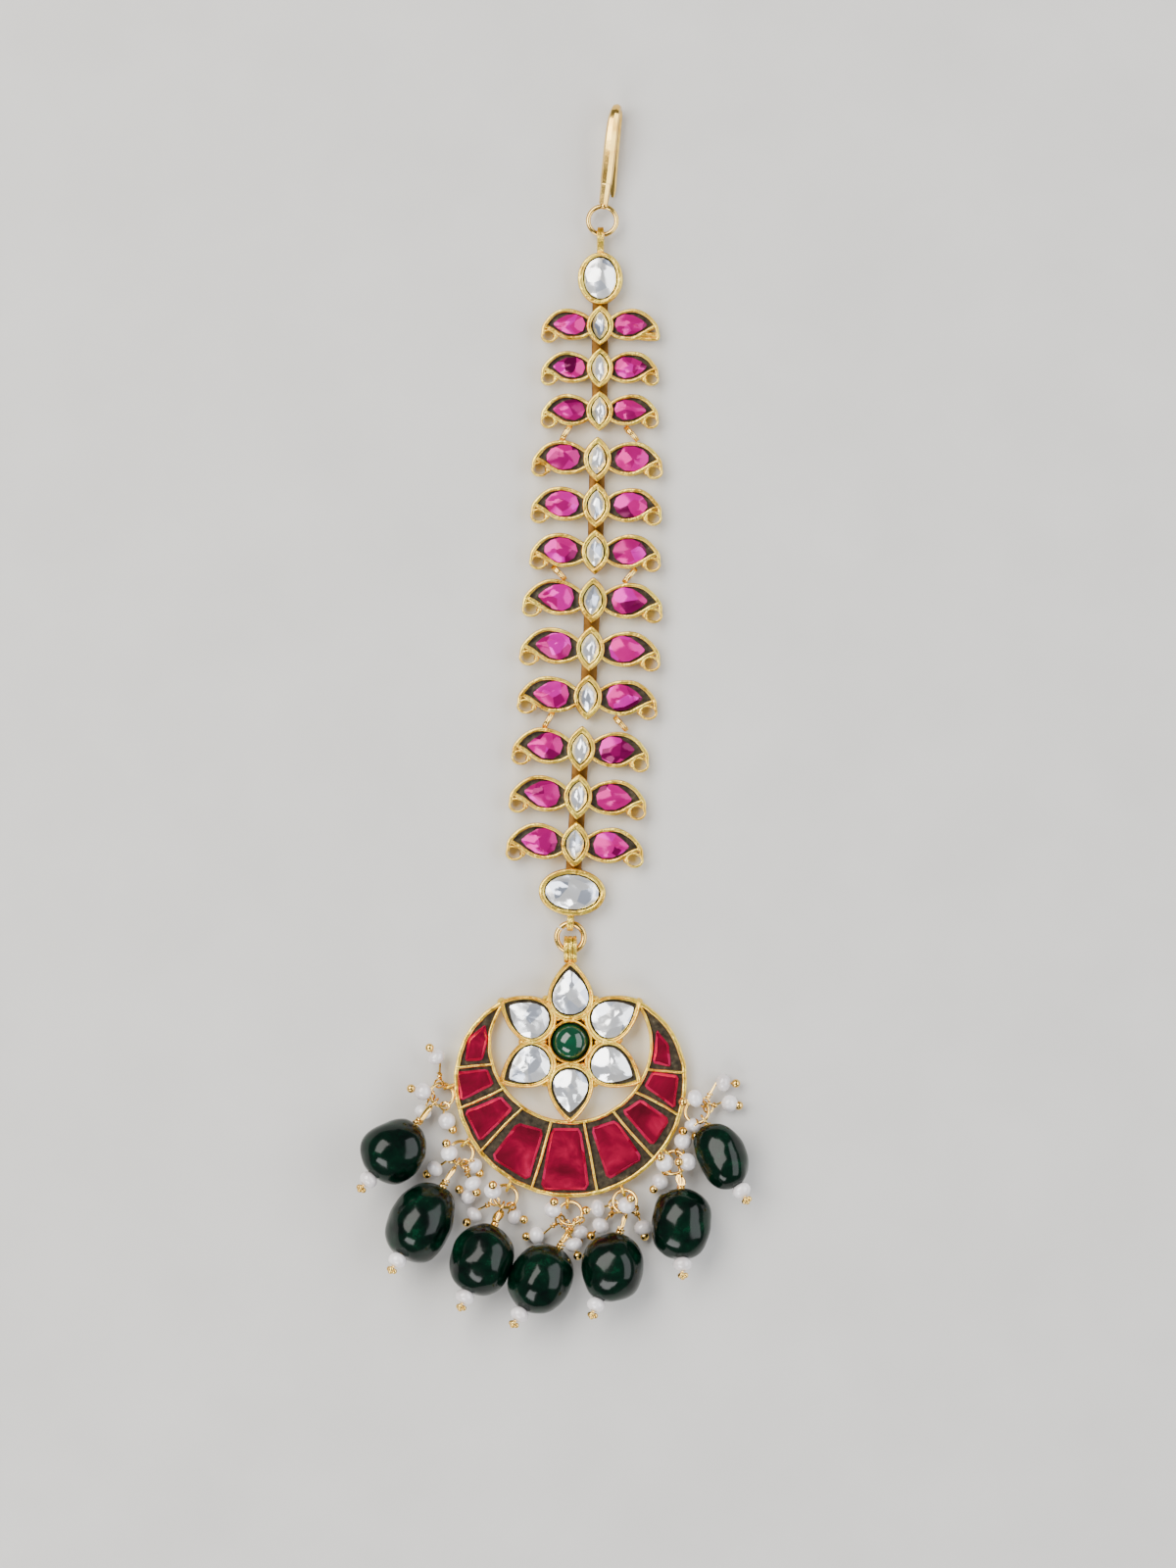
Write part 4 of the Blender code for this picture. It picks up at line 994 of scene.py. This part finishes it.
def outer_edge(angle):
    along = -CRESCENT_DROP * math.sin(math.radians(angle))
    radius = along + math.sqrt(along ** 2 - CRESCENT_DROP ** 2 + (PETAL_REACH + CRESCENT_ROOM) ** 2)
    return radius * (1 - OUTER_PINCH * horn_share(angle) ** 2)


def inner_edge(angle):
    return (PETAL_REACH - 0.3 * MM) * (1 - INNER_PINCH * horn_share(angle) ** 2)


def arc(edge, count, draw_in):
    """An edge of the crescent from horn to horn, drawn in towards the flower."""
    start, end = 180 - HORN_ANGLE, 360 + HORN_ANGLE
    angles = [start + (end - start) * i / (count - 1) for i in range(count)]
    return [FLOWER + bearing(angle, edge(angle) - draw_in) for angle in angles]


def long_wall(path, width, scale, depth):
    lift = [uneven(point, scale, depth) for point in path]
    strap(frame_shape, path, width, WALL_BACK, CRESCENT_TOP - 0.06 * MM, lift=lift)


long_wall(waver(arc(outer_edge, 150, 0.31 * MM), 0.09 * MM, 3), 0.60 * MM, 700, 0.12 * MM)
long_wall(waver(arc(inner_edge, 120, -0.24 * MM), 0.08 * MM, 5), 0.46 * MM, 500, 0.08 * MM)

edges = zip(arc(outer_edge, 120, 0.2 * MM), arc(inner_edge, 120, -0.2 * MM))
stations = []
for outside, inside in edges:
    row = [inside.lerp(outside, i / (PLATE_ROWS - 1)) for i in range(PLATE_ROWS)]
    stations.append([at_height(p, LAC_TOP + uneven(p, 1300, 0.09 * MM)) for p in row]
                    + [at_height(outside, WALL_BACK), at_height(inside, WALL_BACK)])
points, faces = skin(stations)
around = len(stations[0])
on_top = [i % around < PLATE_ROWS - 1 for i in range(len(faces))]
frame_shape.add(points, [face for face, top in zip(faces, on_top) if top], 1)
ends = [tuple(range(around)), tuple(range(len(points) - around, len(points)))]
# The plate's sides and ends take the darker gold with painted shade.
frame_shape.add(points, [face for face, top in zip(faces, on_top) if not top] + ends, 2)
print("crescent from horn to horn:", round(360 - 180 + 2 * HORN_ANGLE), "degrees")

# %% [markdown]
# The walls between the cells were bent from thin strip and are not quite straight. The table
# gives the outer and inner end of each in degrees round the flower, as measured on the picture.

# %% Cell walls
WALLS = ((192.8, 196.2), (211.1, 215.0), (230.7, 234.1), (255.2, 256.6), (280.1, 279.5),
         (305.7, 301.5), (325.9, 322.3), (344.9, 340.1))
for number, (outer, inner) in enumerate(WALLS):
    outside = FLOWER + bearing(outer, outer_edge(outer) - 0.3 * MM)
    inside = FLOWER + bearing(inner, inner_edge(inner) + 0.3 * MM)
    bow = right_of((inside - outside).normalized()) * 0.12 * MM * math.sin(number * 2.3)
    line = curve_through([outside, outside.lerp(inside, 0.5) + bow, inside], 14, False)
    strap(frame_shape, waver(line, 0.05 * MM, number), 0.36 * MM, 1.0 * MM, CRESCENT_TOP - 0.04 * MM,
          soft=0.00009)
print("walls:", len(WALLS))

# %% [markdown]
# Solder has filled the corners where petals meet the crescent and each other. Small lumps of
# metal there tie the frame together, as they do on the real pendant.

# %% Solder
random.seed(9)
for petal in range(6):
    for reach, size, height in ((3.55, 0.9, 1.5), (6.6, 1.1, 1.2)):
        spot = FLOWER + bearing(60 - 60 * petal + random.uniform(-2, 2), reach * MM)
        ball(frame_shape, spot + UP * height * MM, size * MM, 1.9 * MM, UP, 12, 8, dents=0.25, seed=petal)
for angle in (150, 30, 210, 330, 270):
    spot = FLOWER + bearing(angle, 10.75 * MM)
    ball(frame_shape, spot + UP * 1.05 * MM, 1.25 * MM, 1.9 * MM, UP, 12, 8, dents=0.2, seed=angle)
print("points in the frame:", len(frame_shape.points))

# %% [markdown]
# The rubies are slabs with a bevelled edge, each cut to fill its cell roughly. Their corners are
# given as x and y in millimetres from the flower. The slab gets a girdle, a bevel and an uneven
# top whose facets are set by noise, so that light breaks up inside it.

# %% Rubies
RUBIES = (
    ((-14.35, -2.68), (-13.9, 0.5), (-11.53, 2.41), (-11.2, 0.2), (-11.92, -2.56)),
    ((-15.49, -4.08), (-11.28, -3.71), (-10.39, -5.87), (-14.97, -8.17)),
    ((-14.47, -9.44), (-9.37, -7.40), (-7.71, -9.19), (-12.31, -13.77)),
    ((-10.77, -15.81), (-7.20, -10.97), (-3.51, -12.0), (-5.67, -19.01)),
    ((-4.13, -20.16), (-2.61, -11.73), (1.47, -11.73), (2.63, -20.16)),
    ((2.75, -11.73), (6.19, -10.59), (9.89, -15.95), (5.04, -18.88)),
    ((6.96, -9.44), (9.64, -7.79), (13.59, -10.59), (11.16, -14.29)),
    ((10.01, -6.13), (11.16, -4.08), (14.73, -4.60), (14.23, -9.19)),
    ((11.70, 1.75), (11.16, -2.93), (13.68, -3.45), (13.35, -0.5)),
)


def slab(shape, corners, back, girdle, top, seed):
    centre = sum(corners, Vector()) / len(corners)
    rounded = []
    for i, corner in enumerate(corners):
        before, after = corners[i - 1], corners[(i + 1) % len(corners)]
        rounded += [corner.lerp(before, 0.30), corner.lerp(before, 0.09), corner.lerp(after, 0.09),
                    corner.lerp(after, 0.30)]
    outline = waver(rounded, 0.10 * MM, seed, 0.0012)
    bevel = waver(inset(outline, 0.34 * MM), 0.14 * MM, seed + 1, 0.0009)
    low_side = raised([centre + (p - centre) * 0.95 for p in outline], back)
    # Slot 1, the girdle and the bevel, takes the brighter ruby finish: a painted highlight on the bevel.
    loft(shape, [low_side, raised(outline, girdle)], 1, close=(True, False))
    loft(shape, [raised(outline, girdle), raised(bevel, top)], 1, True, (False, False))
    rings = []
    for step in range(7):
        ring = [p.lerp(centre, step / 7) for p in bevel]
        rings.append([at_height(p, top + uneven(p, 650, min(step, 2) * 0.035 * MM, seed)) for p in ring])
    loft(shape, rings, 0, close=(False, True))


for number, corners in enumerate(RUBIES, start=1):
    shape = Shape()
    slab(shape, [FLOWER + Vector((x, y, 0)) * MM for x, y in corners], 1.05 * MM, 1.62 * MM, 2.27 * MM,
         number * 7)
    finish_piece(f"ruby_slab_{number}", shape, [RUBY_STONE, RUBY_BEVEL_HIGHLIGHT],
                 [f"ruby_stone_{number}"], sharp=25)
print("rubies:", len(RUBIES))

# %% [markdown]
# The bail at the top of the flower is bent from grooved strap. It stands on edge, so from above
# its grooves show as three strands side by side, with the ring passing under its bridge. Seven
# wire loops on the crescent's outer edge carry the drops.

# %% Bail and drop loops
for shift in (-0.60, 0.0, 0.60):
    start = FLOWER + Vector((shift * MM, PETAL_REACH - 0.05 * MM, 0))
    upright_loop(frame_shape, start, bearing(90), 3.0 * MM, 1.15 * MM, 1.65 * MM, 0.60 * MM, 0.62 * MM)

DROP_EDGES = (200.4, 223.9, 246.9, 268.9, 289.4, 311.0, 332.8)
WIRE = 0.45 * MM
EYE_RADIUS = WIRE + 0.3 * MM
LOOP_HEIGHT = 1.2 * MM
holes = []
for angle in DROP_EDGES:
    hole = FLOWER + bearing(angle, outer_edge(angle) + EYE_RADIUS + WIRE / 2 - 0.3 * MM) + UP * LOOP_HEIGHT
    holes.append(hole)
    wire(frame_shape, circle(hole, bearing(angle), UP, EYE_RADIUS, 26), WIRE * 0.98, 10, closed=True)
finish_piece("dressed_pendant", frame_shape, [ANTIQUE_GOLD, LAC, SHADED_GOLD],
             ["pendant_frame"])
print("pendant points:", len(frame_shape.points))


# %% [markdown]
# Seven drops hang from the crescent. Each has a dark green bead on a pin: the pin's top is bent
# to an eye and its end is wound round the neck, and below the bead comes a pearl and a head of
# four tiny grains. The table gives, in degrees round the flower, how each ring swings and how
# each bead lies, then in millimetres the neck, the bead and its shift aside.

# %% Drops
DROPS = table("swing set neck length width taper aside",
              (227.3, 229.2, 3.3, 9.1, 8.6, 0.05, 0.0), (247.3, 238.3, 3.1, 11.0, 8.7, 0.14, 0.0),
              (252.0, 247.5, 2.2, 9.6, 8.5, 0.0, 0.1), (286.0, 238.5, 3.2, 9.7, 8.5, 0.03, 0.0),
              (280.0, 251.1, 2.4, 9.4, 8.6, -0.03, 0.5), (305.5, 271.0, 1.8, 9.4, 8.2, 0.04, 0.0),
              (311.2, 297.7, 0.0, 9.4, 6.7, 0.0, -0.1))
BEAD_TILT = math.radians(14.0)
BEAD_TOP = 8.9 * MM
BEAD_FOOT = 0.02 * MM
CLUSTER_RADIUS = 1.6 * MM
FINE_WIRE = 0.30 * MM
DROP_FINISHES = [POLISHED_GOLD, GREEN_BEAD, PEARL]


def helix(start, way, length, turns, first, last, steps=16, seed=0):
    """Wire wound round a line, loosely; its radius goes from first to last."""
    across = way.orthogonal().normalized()
    other = way.cross(across)
    line = []
    count = int(turns * steps)
    for i in range(count + 1):
        share = i / count
        turn = math.tau * turns * share + seed
        radius = first + (last - first) * share
        radius *= 1 + 0.18 * noise.noise(Vector((share * 4, seed, 0)))
        line.append(start + way * length * share
                    + (across * math.cos(turn) + other * math.sin(turn)) * radius)
    return line


def tumbled(shape, centre, axis, length, width, seed, taper, sides=44, bands=34):
    """A bead of tumbled stone: lopsided, dented, with a small pit at each end for the pin."""
    across = axis.orthogonal().normalized()
    rings = []
    for band in range(bands + 1):
        turn = math.pi * band / bands
        pit = 0.055 * math.exp(-(math.sin(turn) / 0.20) ** 2)
        along = -math.cos(turn) * length / 2 * (1 - pit)
        radius = math.sin(turn) ** 0.95 * width / 2 * (1 - taper * math.cos(turn)) / (1 + abs(taper) * 0.2)
        ring = []
        for away in circle(axis * along, across, axis.cross(across), radius, sides):
            unit = away / (width / 2)
            swell = 0.17 * noise.noise(unit * 0.75 + Vector((seed, 0, seed)))
            swell += 0.035 * noise.noise(unit * 1.9 + Vector((0, seed, 0)))
            ring.append(centre + away * (0.965 + swell * math.sin(turn) ** 0.5))
        rings.append(ring)
    points, faces = skin(rings)
    for way, wanted in ((axis, length), (-right_of(axis).normalized(), width)):
        reach = [(p - centre).dot(way) for p in points]
        grow, middle = wanted / (max(reach) - min(reach)), (max(reach) + min(reach)) / 2
        points = [p + way * ((r - middle) * grow - r) for p, r in zip(points, reach)]
    lowest, highest = min(p.z for p in points), max(p.z for p in points)
    squeeze = min(1.0, (BEAD_TOP - BEAD_FOOT) / (highest - lowest))
    shape.add([at_height(p, BEAD_FOOT + (p.z - lowest) * squeeze) for p in points], faces, 1)


def small_pearl(shape, centre, axis, width, length, seed):
    ball(shape, centre, width, length, axis, 20, 13, 2, dents=0.05, seed=seed)


def wound_neck(shape, spot, top, axis, neck, number):
    """The pin's end, wound round the neck, and under it a loose loop of fine wire on a long neck."""
    wrap = min(neck * 0.35, 1.1 * MM)
    wound = helix(top - axis * wrap, axis, wrap + 0.1 * MM, 2.6, 0.42 * MM, 0.50 * MM, seed=number)
    wire(shape, wound, FINE_WIRE, 8)
    if neck > 1.5 * MM:
        start = spot + axis * (EYE_RADIUS * 0.7)
        half = (top - axis * wrap - start) / 2
        lie = axis.cross(UP).normalized() * math.cos(number) + UP * math.sin(number) * 0.5
        for shift, width in ((0.0, 0.40), (0.4, 0.56)):
            loop = [start + half - half * math.cos(t) + lie * math.sin(t + shift) * width * MM
                    for t in [math.tau * i / 28 for i in range(28)]]
            wire(shape, loop, FINE_WIRE * 0.95, 8, closed=True)


eyes = []
for number, (drop, hole) in enumerate(zip(DROPS, holes), start=1):
    axis = bearing(drop["set"], math.cos(BEAD_TILT)) + UP * math.sin(BEAD_TILT)
    neck, length, width = in_mm(drop["neck"], drop["length"], drop["width"])
    eye_height = width / 2 - (EYE_RADIUS + neck + length / 2) * math.sin(BEAD_TILT)
    away = math.sqrt((2 * CLUSTER_RADIUS) ** 2 - (eye_height - hole.z) ** 2)
    spot = at_height(hole, eye_height) + bearing(drop["swing"], away)
    eyes.append(spot)
    shape = Shape()
    between = bearing((drop["swing"] + drop["set"]) / 2)
    wire(shape, circle(spot, between, UP, EYE_RADIUS, 24), 0.36 * MM, 10, closed=True)
    top = spot + axis * (EYE_RADIUS + neck)
    pin = [spot + axis * (EYE_RADIUS - 0.1 * MM), top + axis * length, top + axis * (length + 2.6 * MM)]
    wire(shape, pin, 0.34 * MM, 8)
    wound_neck(shape, spot, top, axis, neck, number)
    aside = -right_of(axis).normalized() * drop["aside"] * MM
    tumbled(shape, top + axis * length / 2 + aside, axis, length, width, number * 3.7, drop["taper"])
    small_pearl(shape, top + axis * (length + 0.80 * MM), axis, 2.60 * MM, 2.05 * MM, number)
    head, across = top + axis * (length + 2.30 * MM), axis.orthogonal().normalized()
    for grain in circle(head, across, axis.cross(across), 0.42 * MM, 3):
        ball(shape, grain, 0.78 * MM, axis=axis, sides=14, bands=9)
    ball(shape, head + axis * 0.34 * MM, 0.66 * MM, axis=axis, sides=12, bands=8)
    finish_piece(f"dressed_drop_{number}", shape, DROP_FINISHES, [f"drop_{number}"])
print("drops:", len(eyes))

# %% [markdown]
# Between the crescent and each bead a plain ring holds a handful of small pearls. Each pearl is
# on a head pin with a gold grain at its end and a loop at its other end, and the pins lie as they
# fell. For each drop, the table gives each pearl's middle and its grain in millimetres from the
# flower, and how far the pearl lies above the table. Where there is no grain in sight, it is
# hidden under its pearl.

# %% Pearl clusters
PEARLS = (
    (((-18.2, -2.1), (-19.1, -0.8), 1.4), ((-20.0, -6.7), (-21.6, -6.3), 2.2),
     ((-20.0, -9.6), None, 0.0), ((-16.8, -10.8), (-16.0, -12.0), 0.0)),
    (((-16.4, -15.0), (-16.8, -13.7), 2.6), ((-18.4, -17.3), None, 0.4), ((-13.1, -16.9), None, 0.0),
     ((-13.2, -19.2), None, 1.9), ((-13.8, -21.0), (-15.1, -20.1), 0.0)),
    (((-10.5, -20.1), (-10.5, -19.3), 2.6), ((-13.1, -23.5), (-14.1, -24.6), 0.0),
     ((-7.6, -23.7), (-6.3, -24.2), 0.0)),
    (((-2.4, -22.7), (-2.2, -21.6), 2.4), ((-4.6, -26.3), (-6.0, -26.5), 0.0),
     ((1.2, -25.9), None, 0.0), ((0.5, -27.5), (1.0, -29.0), 1.9)),
    (((7.6, -22.1), (8.2, -21.1), 2.6), ((3.7, -22.6), (2.1, -22.9), 0.8),
     ((4.1, -25.0), (2.8, -26.4), 0.0), ((9.8, -25.3), (10.1, -26.5), 0.0)),
    (((12.8, -16.4), (12.2, -15.5), 2.4), ((15.9, -16.2), (14.7, -16.2), 2.6),
     ((12.2, -19.0), (11.3, -20.1), 0.0), ((15.3, -13.5), (15.3, -12.1), 1.2)),
    (((16.9, -7.6), (15.3, -8.1), 2.6), ((20.8, -5.6), (22.5, -5.7), 0.0),
     ((21.6, -8.4), (22.9, -8.7), 0.0), ((16.7, -11.4), (17.0, -12.9), 0.0)),
)
PEARL_SIZE = 2.42 * MM
PEARL_REST = 1.24 * MM


def loop_between(shape, start, end, width, seed):
    """A small wire loop at a pin's top, with a loose turn back round the pin."""
    reach, way = (end - start).length, (end - start).normalized()
    side = UP.cross(way)
    side = side.normalized() if side.length > 0.01 else bearing(0)
    tilt = (side + UP * 0.5 * math.sin(seed)).normalized()
    radius = 0.62 * MM
    turns = [math.tau * (0.04 + 0.96 * i / 20) for i in range(21)]
    wire(shape, [start + (way * math.cos(t) + tilt * math.sin(t)) * radius for t in turns], width, 8)
    neck = start + way * radius
    wire(shape, [neck, neck.lerp(end, 0.5), end], width, 8)
    if reach > 1.9 * MM:
        wound = min(reach - radius - 1.0 * MM, 1.0 * MM)
        wire(shape, helix(neck, way, wound, 2.2, 0.27 * MM, 0.30 * MM, 12, seed), width * 0.9, 6)


def grain_of(centre, hang, place, up):
    """Where a pearl's gold grain lies, and the way that its pin points."""
    if place:
        grain = FLOWER + Vector((*place, 0)) * MM
        flat = grain - at_height(centre, 0)
        lift = math.sqrt(max((1.55 * MM) ** 2 - flat.length_squared, 0)) if up > 1 else 0.0
        grain.z = centre.z + lift
        axis = (grain - centre).normalized()
    else:
        axis = at_height(centre - hang, 0).normalized()
        grain = centre + axis * 1.3 * MM - UP * 0.3 * MM
    grain.z = max(grain.z, 0.64 * MM)
    return grain, axis


for number, (hole, spot, rows) in enumerate(zip(holes, eyes, PEARLS), start=1):
    shape = Shape()
    middle = (hole + spot) / 2
    along = (spot - hole).normalized()
    side = UP.cross(along).normalized()
    wire(shape, circle(middle, along, side, CLUSTER_RADIUS, 48), 0.46 * MM, 10, closed=True)
    for index, (place, grain_place, up) in enumerate(rows):
        centre = FLOWER + Vector((*place, up)) * MM + UP * PEARL_REST
        turn = math.atan2((centre - middle).dot(side), (centre - middle).dot(along))
        turn = math.copysign(min(max(abs(turn), math.radians(40)), math.radians(140)), turn)
        hang = middle + (along * math.cos(turn) + side * math.sin(turn)) * CLUSTER_RADIUS
        grain, axis = grain_of(centre, hang, grain_place, up)
        seed = number * 10 + index
        long = 0.86 + 0.20 * noise.noise(Vector((seed, 0.5, 0)))
        small_pearl(shape, centre, axis, PEARL_SIZE, PEARL_SIZE * long, seed)
        wire(shape, [centre, grain], 0.3 * MM, 6)
        ball(shape, grain, 1.22 * MM, sides=14, bands=9)
        loop_between(shape, hang, centre - axis * 0.9 * MM, FINE_WIRE, seed)
    finish_piece(f"dressed_cluster_{number}", shape, DROP_FINISHES, [f"pearl_cluster_{number}"])
print("pearls:", sum(len(rows) for rows in PEARLS))

# %% [markdown]
# Last comes the floor, which only catches the shadow.

# %% Floor and finish
floor_mesh = bpy.data.meshes.new("pale_floor")
half = 0.6
floor_mesh.from_pydata([(aim.x - half, aim.y - half, 0), (aim.x + half, aim.y - half, 0),
                        (aim.x + half, aim.y + half, 0), (aim.x - half, aim.y + half, 0)], [], [(0, 1, 2, 3)])
floor_mesh.materials.append(finish("pale_table", (60.0, 3.0),
                                   ((0.3, (0.60, 0.59, 0.57)), (0.7, (0.64, 0.63, 0.61))), 0.7))
floor = bpy.data.objects.new("pale_floor", floor_mesh)
bpy.context.scene.collection.objects.link(floor)
